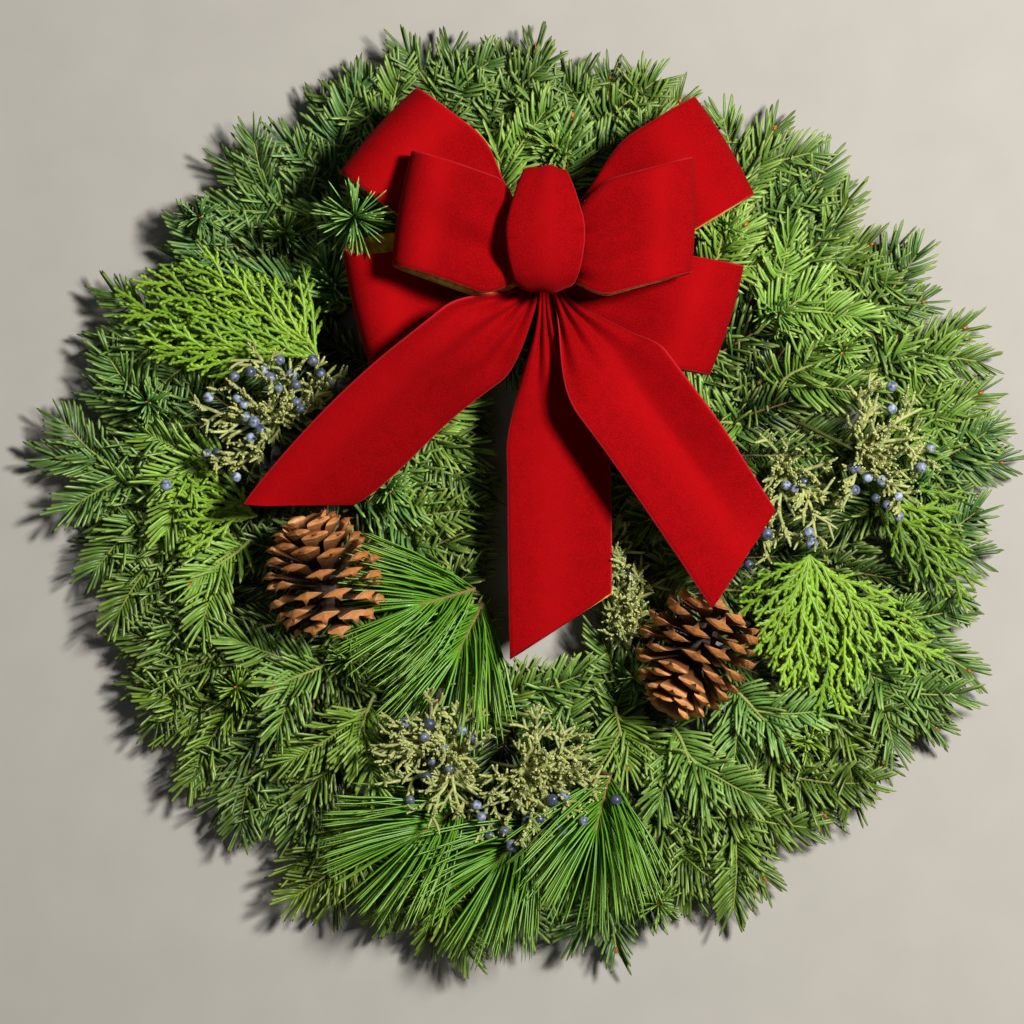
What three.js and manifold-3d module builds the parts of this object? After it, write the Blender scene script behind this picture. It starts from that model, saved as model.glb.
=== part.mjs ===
// A fresh evergreen wreath with a red velvet bow, lying on its back with its front up.
// Millimetres. The origin is under the middle of the wreath, +Z is out of its front,
// +Y is its top as it hangs and +X is its right. A bearing is an angle in degrees from +Y,
// clockwise as seen from the front.
import * as THREE from "three";
import { mergeVertices } from "three/addons/utils/BufferGeometryUtils.js";
import Module from "manifold-3d";

const wasm = await Module();
wasm.setup();

// Wire ring and its clamps
const RING_RADIUS = 165;
const RING_WIRE_RADIUS = 2.5;
const RING_WIRE_HEIGHT = 3.2;
const RING_SEGMENTS = 36;
const CLAMP_COUNT = 18;
const CLAMP_WIDTH = 8;
const CLAMP_REACH = 10;
const CLAMP_GAUGE = 1.6;
const CLAMP_TIP_REACH = 6;

// Where the middle of the wreath's box lies from the middle of its ring
const LAYOUT_MIDDLE = { x: 0, y: 1 };

// Greenery
const GAP = 0.4;
const FLOOR_CLEARANCE = 3;
const BUTT_RADIUS = 4;
const BUTT_HALF_LENGTH = 14;
const STEM_RADIUS = 1.7;
const BARE_STEP = 22;
const BARE_SHARE = 0.28;
const TIP_REACH = 13;
const SPRAY_STAGGER = 1.1;
const FORK_RADIUS = 3.6;
const FORK_DEPTH = 2;
const NEEDLE_CORE = 1.2;
const TIP_START = 0.9;
const TIP_GIRTH = 0.7;
const TIP_SAG = 0.35;
const UPRIGHT = 0.98;
const STEM_MOST_LIFT = 32;
const STEM_LIFT_STEP = 2;
const CAPSULES_PER_STEM = 8;
const SEAT_GAP = 0.3;
const BERRY_RADIUS = 3.9;
const SEED = 20;
const ROUNDING = 1e-4;
const SHORTEST_EDGE = 0.002;
const THINNEST_FACE = 0.0008;
const MOST_TRIES = 30;
const ODD_EDGE_WEIGHT = 100;

// How the side faces of a twig are raised into needles, leaflets or branchlets
const GROWTH = {
  fir: { sides: 3, across: 1.6, deep: 1.6, pitch: 8.3, length: 24, lean: 46, end: 15, spiral: 0.06 },
  pine: { sides: 3, across: 1.7, deep: 1.7, pitch: 4.4, length: 62, lean: 27, end: 50, spiral: 0.02 },
  juniper: { sides: 3, across: 1.4, deep: 1.4, pitch: 10.5, length: 13, lean: 40, end: 9, spiral: 0.2 },
  cedar: { sides: 4, across: 2.7, deep: 1.3, pitch: 9.2, length: 17, lean: 38, end: 12, spiral: 0 },
};

// Pine cones
const CONE_CORE_RADIUS = 23;
const CONE_HEIGHT = 62;
const CONE_SCALE_LENGTH = 15;
const CONE_ROWS = 9;
const CONE_COLUMNS = 8;
const CONE_FOCUS = -14;
const CONE_RADIUS = CONE_CORE_RADIUS + CONE_SCALE_LENGTH;

// Ribbon: 70 mm wide wired velvet
const RIBBON_WIDTH = 70;
const RIBBON_THICKNESS = 1.2;
const RIBBON_PINCH = 22;
const TAIL_GATHER = 7;
const LOOP_STATIONS = 15;
const TAIL_STATIONS = 12;
const TIE = { x: 12, y: 140, bottom: 60, top: 88, radius: 2.4, footBearing: 10 };
const GATHER_BASE = 64;
const GATHER_STEP = 1.8;

// The hole in the middle, clear of all greenery and under the ribbon tails
const CENTRE_HOLE = new THREE.Box3(
  new THREE.Vector3(-20, -104, -6),
  new THREE.Vector3(42, 62, 57),
);

const LAYERS = {
  rim: { fromHeight: 21, toHeight: 17 },
  face: { fromHeight: 33, toHeight: 42 },
  inner: { fromHeight: 24, toHeight: 30 },
};

const spray = (layer) => (fromX, fromY, toX, toY) => ({
  from: new THREE.Vector3(fromX, fromY, LAYERS[layer].fromHeight),
  to: new THREE.Vector3(toX, toY, LAYERS[layer].toHeight),
});
const rim = spray("rim");
const face = spray("face");
const inner = spray("inner");

// One bunch for each clamp, clockwise from the top. A spray runs from the place where its
// needles start to where they end.
const FIR_BUNCHES = [
  [rim(-16, 222, -13, 285), rim(4, 235, 7, 293), face(22, 195, 31, 248), face(-14, 190, -20, 232)],
  [rim(46, 217, 55, 274), rim(70, 205, 102, 258), face(75, 165, 96, 215)],
  [
    rim(128, 184, 161, 241),
    rim(149, 165, 206, 192),
    face(110, 140, 143, 178),
    inner(100, 105, 92, 70),
  ],
  [rim(168, 138, 226, 164), rim(204, 114, 259, 126), rim(222, 82, 284, 112), face(150, 110, 190, 138)],
  [rim(236, 46, 294, 71), rim(244, 26, 308, 23), face(160, 74, 208, 100), inner(130, 48, 80, 52)],
  [rim(222, 0, 273, -2), rim(238, -26, 293, -37), inner(120, -2, 82, 14)],
  [rim(222, -72, 286, -112), rim(206, -100, 265, -149), inner(110, -40, 78, -30)],
  [
    rim(178, -122, 230, -172),
    rim(146, -148, 194, -205),
    face(130, -118, 170, -158),
    inner(84, -72, 60, -58),
  ],
  [
    rim(120, -190, 155, -245),
    rim(84, -192, 108, -257),
    face(92, -142, 118, -196),
    face(56, -128, 66, -176),
  ],
  [rim(50, -222, 58, -291), rim(20, -212, 9, -267), inner(34, -118, -8, -134)],
  [rim(-16, -226, -22, -280), rim(-46, -226, -62, -283), rim(-104, -206, -124, -264)],
  [rim(-132, -172, -148, -222), rim(-160, -158, -198, -197), face(-94, -122, -112, -166)],
  [
    rim(-172, -124, -234, -146),
    rim(-192, -98, -250, -118),
    face(-124, -102, -166, -120),
    inner(-86, -78, -56, -84),
  ],
  [rim(-200, -68, -254, -92), rim(-212, -28, -266, -50), face(-176, -30, -216, -58)],
  [rim(-226, 16, -308, 28), rim(-218, -6, -276, -14), face(-194, 24, -240, 6), inner(-96, 0, -50, -6)],
  [
    rim(-212, 46, -275, 70),
    rim(-205, 100, -274, 98),
    inner(-84, 34, -26, 66),
    inner(-92, 14, -34, 34),
  ],
  [
    rim(-172, 138, -226, 152),
    rim(-160, 150, -203, 181),
    rim(-140, 172, -193, 217),
    face(-112, 122, -134, 160),
  ],
  [
    rim(-112, 196, -130, 256),
    rim(-84, 222, -108, 271),
    rim(-50, 236, -45, 291),
    face(-78, 172, -106, 196),
  ],
];

// Accent greens lie on the ring between two clamps, at their bearing
const CEDAR_FANS = [
  {
    name: "cedar_fan_upper_left", bearing: 291, root: [-128, 88], height: 44,
    tips: [[-250, 122], [-232, 142], [-205, 148], [-172, 132], [-142, 116], [-232, 94]],
  },
  {
    name: "cedar_fan_left", bearing: 272, root: [-166, -10], height: 40,
    tips: [[-220, -5], [-203, 12], [-204, -22]],
  },
  {
    name: "cedar_fan_right", bearing: 108, root: [176, -34], height: 44,
    tips: [[152, -68], [150, -96], [170, -112], [194, -130], [210, -110], [246, -98]],
  },
  {
    name: "cedar_fan_far_right", bearing: 92, root: [210, 14], height: 36,
    tips: [[238, 52], [262, -18], [276, -60]],
  },
];

const JUNIPER_SPRIGS = [
  {
    name: "juniper_sprig_left", bearing: 287, root: [-156, 48], height: 46,
    tips: [[-205, 60], [-170, 96], [-118, 82], [-120, 64], [-192, 18], [-170, 14]],
  },
  {
    name: "juniper_sprig_right", bearing: 70, root: [206, 30], height: 44,
    tips: [[218, 72], [196, -4], [244, 56], [250, 22], [232, -10]],
  },
  {
    name: "juniper_sprig_inner_right", bearing: 88, root: [162, 18], height: 42,
    tips: [[150, 36], [184, 22], [180, -26], [148, -36]],
  },
  {
    name: "juniper_sprig_bottom_left", bearing: 193, root: [-46, -158], height: 46,
    tips: [[-88, -132], [-92, -162], [-60, -118], [-72, -186], [-30, -126]],
  },
  {
    name: "juniper_sprig_bottom", bearing: 190, root: [-2, -166], height: 42,
    tips: [[30, -146], [44, -176], [20, -204], [-24, -214], [6, -136]],
  },
  {
    name: "juniper_sprig_middle", bearing: 152, root: [64, -92], height: 34,
    tips: [[50, -12], [62, -34], [70, -50], [48, -62]],
  },
];
const JUNIPER_BERRIES = 4;

const PINE_TUFT_DEPTH = 28;
// A tuft's twig runs straight for this far before its first needle
const PINE_STRAIGHT_LEAD = 9;
const PINE_TUFTS = [
  { name: "pine_tuft_centre", bearing: 248, root: [-48, -60], height: 36, aim: [-88, -72] },
  { name: "pine_tuft_inner", bearing: 230, root: [-34, -80], height: 30, aim: [-62, -136] },
  { name: "pine_tuft_lower_left", bearing: 210, root: [-52, -198], height: 38, aim: [-112, -240] },
  { name: "pine_tuft_bottom", bearing: 187, root: [-6, -212], height: 34, aim: [-52, -264] },
  { name: "pine_tuft_lower_right", bearing: 170, root: [48, -188], height: 40, aim: [30, -262] },
];

const CONES = [
  { name: "pine_cone_left", centre: [-124, -48, 66], axis: [-0.24, 0.9, 0.36], wireBearing: 252 },
  { name: "pine_cone_right", centre: [105, -94, 62], axis: [-0.42, -0.82, 0.4], wireBearing: 130 },
];

// The gathered ends lie on each other under the tie wire: level 0 is the lowest
const level = (step) => GATHER_BASE + GATHER_STEP * step;

// A loop's far edge runs between two corners. Its lower and upper runs each have a height
// at the tie, a third of the way out and near the far edge.
const LOOPS = [
  {
    name: "bow_loop_lower_left",
    anchorY: 130,
    corners: [[-110, 148], [-94, 78]],
    lower: [level(0), 63.5, 62],
    upper: [level(3), 78, 86],
  },
  {
    name: "bow_loop_lower_right",
    anchorY: 130,
    corners: [[134, 145], [112, 75]],
    lower: [level(0), 63.5, 62],
    upper: [level(3), 78, 86],
  },
  {
    name: "bow_loop_back_left",
    anchorY: 151,
    corners: [[-65, 253], [-114, 199]],
    lower: [level(1), 68, 66],
    upper: [level(2), 72, 94],
  },
  {
    name: "bow_loop_back_right",
    anchorY: 151,
    corners: [[103, 247], [140, 186]],
    lower: [level(1), 68, 66],
    upper: [level(2), 72, 94],
  },
  {
    name: "bow_loop_front_left",
    anchorY: 148,
    corners: [[-68, 214], [-80, 143]],
    lower: [level(7), 96, 99],
    upper: [level(8), 118, 128],
  },
  {
    name: "bow_loop_front_right",
    anchorY: 148,
    corners: [[101, 210], [100, 135]],
    lower: [level(7), 96, 99],
    upper: [level(8), 118, 128],
  },
];

// The centre loop runs through these places: along +Y, height, half width
const KNOT = {
  name: "bow_centre_loop",
  route: [
    [137.1, level(9), 3],
    [133, 96, 5],
    [130, 112, 12],
    [136, 128, 20],
    [158, 137, 24],
    [184, 134, 17],
    [200, 124, 11],
    [188, 117, 13],
    [160, 112, 12],
    [147, 98, 7],
    [142.9, level(9) + 2, 3],
  ],
};

// Each tail: its middle line below the tie, its width as it lies, how many degrees its
// left edge is tilted up, and the two corners of its cut end
const TAILS = [
  {
    name: "bow_tail_left",
    level: 6,
    startX: 8,
    width: 56,
    tilt: 38,
    route: [[-2, 121, 87], [-34, 94, 100], [-72, 60, 93]],
    cut: [[-171, -4, 88], [-106, -1, 61]],
  },
  {
    name: "bow_tail_middle",
    level: 5,
    startX: 12,
    width: 64,
    tilt: 8,
    route: [[12, 118, 80], [14, 88, 84], [20, 40, 72]],
    cut: [[-9, -98, 66], [53, -57, 62]],
  },
  {
    name: "bow_tail_right",
    level: 6,
    startX: 16,
    width: 62,
    tilt: 18,
    route: [[24, 119, 87], [44, 84, 96], [72, 40, 92]],
    cut: [[114, -66, 94], [153, -6, 74]],
  },
];

const FINISHES = {
  wire: { color: 0x3d4a3a, roughness: 0.5, metalness: 0.7 },
  fir: { color: 0x3f7a3c, roughness: 0.7, metalness: 0 },
  cedar: { color: 0x74b32a, roughness: 0.7, metalness: 0 },
  juniper: { color: 0x8f9a55, roughness: 0.8, metalness: 0 },
  pine: { color: 0x57962c, roughness: 0.6, metalness: 0 },
  cone: { color: 0xa8683a, roughness: 0.85, metalness: 0 },
  velvet: { color: 0xb40008, roughness: 0.95, metalness: 0 },
};

const vector = (x, y, z) => new THREE.Vector3(x, y, z);

const onRing = (bearing, height, radius = RING_RADIUS) => {
  const angle = THREE.MathUtils.degToRad(bearing);
  return vector(radius * Math.sin(angle), radius * Math.cos(angle), height);
};

const tangentAt = (bearing) => {
  const angle = THREE.MathUtils.degToRad(bearing);
  return vector(Math.cos(angle), -Math.sin(angle), 0);
};

// A seeded draw from 0 to 1
function makeRandom(seed) {
  let state = seed;
  return () => {
    state = (Math.imul(state, 1664525) + 1013904223) >>> 0;
    return state / 4294967296;
  };
}
let random = makeRandom(SEED);
const seedOf = (name) => [...name].reduce((sum, letter) => sum * 31 + letter.charCodeAt(0), SEED);
const between = (low, high) => low + (high - low) * random();

// Shortest distance between the segments p1-q1 and p2-q2
function segmentDistance(p1, q1, p2, q2) {
  const d1 = q1.clone().sub(p1);
  const d2 = q2.clone().sub(p2);
  const offset = p1.clone().sub(p2);
  const a = d1.dot(d1);
  const e = d2.dot(d2);
  const b = d1.dot(d2);
  const c = d1.dot(offset);
  const f = d2.dot(offset);
  const slope = a * e - b * b;
  const clamp = THREE.MathUtils.clamp;
  let s = slope > 1e-9 ? clamp((b * f - c * e) / slope, 0, 1) : 0;
  const t = clamp((b * s + f) / e, 0, 1);
  s = clamp((b * t - c) / a, 0, 1);
  return p1.clone().addScaledVector(d1, s).distanceTo(p2.clone().addScaledVector(d2, t));
}

// The capsules that every piece fills, so that a new stem or needle is bent clear of them.
// A capsule belongs to a node, and to one twig of it.
class Clearance {
  constructor(gap) {
    this.gap = gap;
    this.capsules = [];
  }

  add(node, twig, from, to, radius) {
    const middle = from.clone().add(to).multiplyScalar(0.5);
    const half = from.distanceTo(to) / 2 + radius;
    this.capsules.push({ node, twig, from, to, radius, middle, half });
  }

  isClear(from, to, radius, ignored) {
    const middle = from.clone().add(to).multiplyScalar(0.5);
    const half = from.distanceTo(to) / 2 + radius + this.gap;
    return !this.capsules.some((other) => {
      if (ignored(other)) return false;
      if (middle.distanceTo(other.middle) > half + other.half) return false;
      const apart = segmentDistance(from, to, other.from, other.to);
      return apart <= radius + other.radius + this.gap;
    });
  }
}
const RING_WIRE = "ring wire";
const RING_CLAMPS = "ring clamps";
const clearance = new Clearance(GAP);

const inHole = (point) => CENTRE_HOLE.distanceToPoint(point) < 2;
const pairs = (points) => points.slice(1).map((point, i) => [points[i], point]);

function staysOutOfHole(from, to) {
  const samples = [0.25, 0.5, 0.75, 1];
  return samples.every((share) => !inHole(from.clone().lerp(to, share)));
}

// A closed three.js geometry as a solid that can be joined and cut
function toSolid(geometry) {
  const bare = geometry.clone();
  bare.deleteAttribute("normal");
  bare.deleteAttribute("uv");
  const merged = mergeVertices(bare, 1e-3);
  return new wasm.Manifold(
    new wasm.Mesh({
      numProp: 3,
      vertProperties: merged.attributes.position.array,
      triVerts: new Uint32Array(merged.index.array),
    }),
  );
}

function toGeometry(solid) {
  const mesh = solid.getMesh();
  return new THREE.BufferGeometry()
    .setAttribute("position", new THREE.BufferAttribute(mesh.vertProperties, 3))
    .setIndex(new THREE.BufferAttribute(mesh.triVerts, 1));
}

// The largest body of the joined solids, with any loose scrap dropped
function join(solids) {
  const bodies = wasm.Manifold.union(solids).decompose();
  return bodies.reduce((a, b) => (a.volume() > b.volume() ? a : b));
}

// A solid's surface in the wreath's own frame
const placed = (solid) => toGeometry(solid).translate(-LAYOUT_MIDDLE.x, -LAYOUT_MIDDLE.y, 0);

// Counts the flaws of a joined surface: its slivers, and the edges that no longer join two
// faces once the vertices are rounded
function countFlaws(solid) {
  const welded = mergeVertices(toGeometry(toSolid(placed(solid))), ROUNDING);
  const place = welded.attributes.position;
  const shared = new Map();
  let slivers = 0;
  for (let i = 0; i < welded.index.count; i += 3) {
    const corners = [0, 1, 2].map((k) => welded.index.getX(i + k));
    if (new Set(corners).size < 3) continue;
    const places = corners.map((corner) => vector(0, 0, 0).fromBufferAttribute(place, corner));
    if (isSliver(places)) slivers += 1;
    corners.forEach((from, k) => {
      const to = corners[(k + 1) % 3];
      const edge = `${Math.min(from, to)} ${Math.max(from, to)}`;
      shared.set(edge, (shared.get(edge) ?? 0) + 1);
    });
  }
  const odd = [...shared.values()].filter((faces) => faces !== 2).length;
  return slivers + ODD_EDGE_WEIGHT * odd;
}

function isSliver(corners) {
  const edges = corners.map((corner, k) => corner.distanceTo(corners[(k + 1) % 3]));
  const height = (2 * new THREE.Triangle(...corners).getArea()) / Math.max(...edges);
  return Math.min(...edges) < SHORTEST_EDGE || height < THINNEST_FACE;
}

// Grows a piece until its joined surface has no flaw, or keeps the best of the tries. Each
// try draws girths, turns and lengths again.
function growSound(name, grow) {
  random = makeRandom(seedOf(name) % 4294967296);
  const before = clearance.capsules;
  let best = { flaws: Infinity };
  for (let attempt = 0; attempt < MOST_TRIES && best.flaws > 0; attempt += 1) {
    clearance.capsules = [...before];
    const solid = join(grow());
    const flaws = countFlaws(solid);
    if (flaws < best.flaws) best = { solid, flaws, capsules: clearance.capsules };
  }
  clearance.capsules = best.capsules;
  return best.solid;
}

function addPiece(group, name, solid, finish) {
  const mesh = new THREE.Mesh(placed(solid), new THREE.MeshStandardMaterial(FINISHES[finish]));
  mesh.name = name;
  group.add(mesh);
}

function polygon(radius, sides) {
  const corners = Array.from({ length: sides }, (_, i) => {
    const angle = (2 * Math.PI * (i + 0.5)) / sides;
    return new THREE.Vector2(radius * Math.cos(angle), radius * Math.sin(angle));
  });
  return new THREE.Shape(corners);
}

function wireAlong(points, radius, steps, sides) {
  const path = new THREE.CatmullRomCurve3(points);
  return toSolid(new THREE.ExtrudeGeometry(polygon(radius, sides), { steps, extrudePath: path }));
}

// Places along a path, widely spaced up to where growth starts and one pitch apart after it
function stationsAlong(path, bare, pitch) {
  const length = path.getLength();
  const bareCount = Math.max(1, Math.round(bare / BARE_STEP));
  const grownCount = Math.max(2, Math.round((length - bare) / pitch));
  const before = Array.from({ length: bareCount }, (_, i) => (bare * i) / bareCount);
  const after = Array.from({ length: grownCount + 1 }, (_, i) => bare + ((length - bare) * i) / grownCount);
  return [...before, ...after].map((distance) => {
    return { share: Math.min(distance / length, 1), grown: distance >= bare };
  });
}

// A twig: a closed slim tube along a path whose side faces rise into needles, leaflets or
// branchlets where there is room for them. It ends in a point.
class Twig {
  constructor(node, id, points, bare, growth) {
    this.node = node;
    this.id = id;
    this.growth = growth;
    this.isFlat = growth.sides === 4;
    this.path = new THREE.CatmullRomCurve3(points);
    this.stations = stationsAlong(this.path, bare, growth.pitch);
    this.girth = between(0.92, 1.08);
    this.roll = between(-0.25, 0.25);
    this.vertices = [];
    this.faces = [];
    this.buildRings();
  }

  ignores(other) {
    return other.node === this.node && other.twig === this.id;
  }

  buildRings() {
    const { sides, across, deep, spiral } = this.growth;
    const roll = this.isFlat ? 0 : this.roll;
    let up = vector(0, 0, 1);
    this.stations.forEach((station, j) => {
      station.along = this.path.getTangentAt(station.share);
      if (Math.abs(station.along.z) > UPRIGHT) up = vector(1, 0, 0);
      up.addScaledVector(station.along, -up.dot(station.along)).normalize();
      station.up = up.clone();
      station.side = new THREE.Vector3().crossVectors(station.along, up);
      station.centre = this.path.getPointAt(station.share);
      const thin = this.girth * (station.share > TIP_START ? TIP_GIRTH : 1);
      for (let i = 0; i < sides; i += 1) {
        const angle = (2 * Math.PI * (i + 0.5)) / sides + roll + spiral * j;
        const place = station.centre.clone();
        place.addScaledVector(station.side, across * thin * Math.cos(angle));
        place.addScaledVector(station.up, deep * thin * Math.sin(angle));
        this.vertices.push(place);
      }
    });
  }

  corners(j, i) {
    const { sides } = this.growth;
    const next = (i + 1) % sides;
    return [j * sides + i, j * sides + next, (j + 1) * sides + next, (j + 1) * sides + i];
  }

  grow() {
    const last = this.stations.length - 1;
    for (let j = 0; j < last; j += 1) {
      for (let i = 0; i < this.growth.sides; i += 1) this.growFace(j, i);
    }
    this.closeStart();
    this.closeEnd(last);
    return this.toSolid();
  }

  growFace(j, i) {
    const [a, b, c, d] = this.corners(j, i);
    const apex = this.stations[j].grown && this.growsOn(i) ? this.findApex(j, [a, b, c, d]) : null;
    if (!apex) {
      this.faces.push([a, b, c], [a, c, d]);
      return;
    }
    const tip = this.vertices.push(apex) - 1;
    this.faces.push([a, b, tip], [b, c, tip], [c, d, tip], [d, a, tip]);
  }

  // A flat frond has leaflets on its two edges only
  growsOn(i) {
    return !this.isFlat || i % 2 === 1;
  }

  // A needle or leaflet that has no room is turned a little, then made shorter, then left out
  findApex(j, indices) {
    const { length, lean } = this.growth;
    const { along, centre } = this.stations[j];
    const base = vector(0, 0, 0);
    indices.forEach((index) => base.addScaledVector(this.vertices[index], 0.25));
    const out = base.clone().sub(centre);
    out.addScaledVector(along, -out.dot(along)).normalize();
    const taper = this.isFlat ? 1.15 - 0.75 * this.stations[j].share : 1;
    const angle = THREE.MathUtils.degToRad(lean);
    for (const twist of [0, 0.35, -0.35]) {
      for (const share of [1, 0.75, 0.5]) {
        const reach = length * taper * share * between(0.9, 1);
        const turned = out.clone().applyAxisAngle(along, twist);
        const direction = turned.multiplyScalar(Math.sin(angle)).addScaledVector(along, Math.cos(angle));
        const apex = base.clone().addScaledVector(direction, reach);
        if (this.isFree(base, apex)) {
          clearance.add(this.node, this.id, base, apex, NEEDLE_CORE);
          return apex;
        }
      }
    }
    return null;
  }

  isFree(from, to) {
    if (to.z < FLOOR_CLEARANCE || !staysOutOfHole(from, to)) return false;
    return clearance.isClear(from, to, NEEDLE_CORE, (other) => this.ignores(other));
  }

  closeStart() {
    for (let i = 1; i < this.growth.sides - 1; i += 1) this.faces.push([0, i + 1, i]);
  }

  closeEnd(last) {
    const { sides, end } = this.growth;
    const { centre, along } = this.stations[last];
    const reaches = [1, 0.6, 0.3, 0.1];
    const tips = reaches.map((share) => centre.clone().addScaledVector(along, end * share));
    const apex = tips.find((tip) => this.isFree(centre, tip)) ?? tips.at(-1);
    clearance.add(this.node, this.id, centre, apex, NEEDLE_CORE);
    const tip = this.vertices.push(apex) - 1;
    for (let i = 0; i < sides; i += 1) {
      this.faces.push([last * sides + i, last * sides + ((i + 1) % sides), tip]);
    }
  }

  toSolid() {
    const geometry = new THREE.BufferGeometry().setFromPoints(this.vertices);
    const solid = toSolid(geometry.setIndex(this.faces.flat()));
    if (solid.volume() > 0) return solid;
    const flipped = this.faces.map(([a, b, c]) => [a, c, b]);
    return toSolid(geometry.setIndex(flipped.flat()));
  }
}

// The cut ends of a bunch, held together by its clamp
function butt(bearing) {
  const shape = new THREE.CylinderGeometry(BUTT_RADIUS, BUTT_RADIUS, 2 * BUTT_HALF_LENGTH, 6);
  shape.rotateX(Math.PI / 2).rotateY(Math.PI / 2);
  shape.rotateZ(-THREE.MathUtils.degToRad(bearing));
  const place = onRing(bearing, BUTT_HEIGHT);
  return toSolid(shape.translate(place.x, place.y, place.z));
}

const RING_TOP = RING_WIRE_HEIGHT + RING_WIRE_RADIUS * Math.cos(Math.PI / 6);
const BUTT_HEIGHT = RING_TOP + SEAT_GAP + BUTT_RADIUS * Math.cos(Math.PI / 6);
const CLAMP_HEIGHT = BUTT_HEIGHT + BUTT_RADIUS + 2 * SEAT_GAP + CLAMP_GAUGE;

// One clamp: a strap under the ring wire whose two prongs fold in over the stems
function clamp(bearing) {
  const inside = CLAMP_REACH - CLAMP_GAUGE;
  const half = [
    [0, 0],
    [CLAMP_REACH, 0],
    [CLAMP_REACH, CLAMP_HEIGHT],
    [CLAMP_REACH - CLAMP_TIP_REACH, CLAMP_HEIGHT],
    [CLAMP_REACH - CLAMP_TIP_REACH, CLAMP_HEIGHT - CLAMP_GAUGE],
    [inside, CLAMP_HEIGHT - CLAMP_GAUGE],
    [inside, CLAMP_GAUGE],
  ];
  const mirrored = half.slice(1).map(([across, up]) => [-across, up]).reverse();
  const outline = [...half.slice(1), ...mirrored].map(([across, up]) => new THREE.Vector2(across, up));
  const shape = new THREE.Shape(outline);
  const strap = new THREE.ExtrudeGeometry(shape, { depth: CLAMP_WIDTH, bevelEnabled: false });
  strap.translate(0, 0, -CLAMP_WIDTH / 2);
  strap.rotateX(Math.PI / 2).rotateZ(Math.PI / 2);
  strap.translate(0, RING_RADIUS, 0);
  strap.rotateZ(-THREE.MathUtils.degToRad(bearing));
  return toSolid(strap);
}

const clampBearings = Array.from({ length: CLAMP_COUNT }, (_, i) => (i * 360) / CLAMP_COUNT);

function addRing(group) {
  const wire = new THREE.TorusGeometry(RING_RADIUS, RING_WIRE_RADIUS, 6, RING_SEGMENTS);
  wire.rotateZ(Math.PI / RING_SEGMENTS).translate(0, 0, RING_WIRE_HEIGHT);
  const solids = [toSolid(wire), ...clampBearings.map(clamp)];
  addPiece(group, "wire_ring", join(solids), "wire");
  for (let bearing = 0; bearing < 360; bearing += 5) {
    const here = onRing(bearing, RING_WIRE_HEIGHT);
    const next = onRing(bearing + 5, RING_WIRE_HEIGHT);
    clearance.add(RING_WIRE, 0, here, next, RING_WIRE_RADIUS);
  }
  clampBearings.forEach((bearing) => {
    [-1, 1].forEach((side) => {
      const radius = RING_RADIUS + side * (CLAMP_REACH - CLAMP_GAUGE / 2);
      const foot = onRing(bearing, CLAMP_GAUGE, radius);
      const top = onRing(bearing, CLAMP_HEIGHT, radius);
      clearance.add(RING_CLAMPS, 0, foot, top, CLAMP_WIDTH / 2 + 0.5);
    });
    const low = onRing(bearing, CLAMP_HEIGHT, RING_RADIUS - CLAMP_REACH);
    const high = onRing(bearing, CLAMP_HEIGHT, RING_RADIUS + CLAMP_REACH);
    clearance.add(RING_CLAMPS, 0, low, high, CLAMP_WIDTH / 2);
  });
}

// A flat-sided strip of ribbon through stations that each hold a left and a right edge
function ribbonGeometry(stations, thickness) {
  const middles = stations.map(({ left, right }) => left.clone().add(right).multiplyScalar(0.5));
  const corners = stations.flatMap(({ left, right }, i) => {
    const before = middles[Math.max(i - 1, 0)];
    const after = middles[Math.min(i + 1, stations.length - 1)];
    const along = after.clone().sub(before);
    const across = right.clone().sub(left);
    const out = along.cross(across).normalize().multiplyScalar(thickness / 2);
    return [
      left.clone().add(out),
      right.clone().add(out),
      right.clone().sub(out),
      left.clone().sub(out),
    ];
  });
  const faces = [];
  for (let i = 0; i < stations.length - 1; i += 1) {
    for (let side = 0; side < 4; side += 1) {
      const a = 4 * i + side;
      const b = 4 * i + ((side + 1) % 4);
      faces.push(a, b + 4, b, a, a + 4, b + 4);
    }
  }
  const last = 4 * (stations.length - 1);
  faces.push(0, 1, 2, 0, 2, 3, last, last + 2, last + 1, last, last + 3, last + 2);
  const geometry = new THREE.BufferGeometry().setFromPoints(corners);
  return geometry.setIndex(faces);
}

function addRibbon(group, name, stations) {
  addPiece(group, name, toSolid(ribbonGeometry(stations, RIBBON_THICKNESS)), "velvet");
  stations.slice(1).forEach(({ left, right }, i) => {
    const before = stations[i];
    const reach = left.distanceTo(before.left) / 6 + RIBBON_THICKNESS;
    [1 / 6, 1 / 2, 5 / 6].forEach((share) => {
      const from = before.left.clone().lerp(left, share);
      clearance.add(name, 0, from, before.right.clone().lerp(right, share), reach);
    });
  });
}

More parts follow.
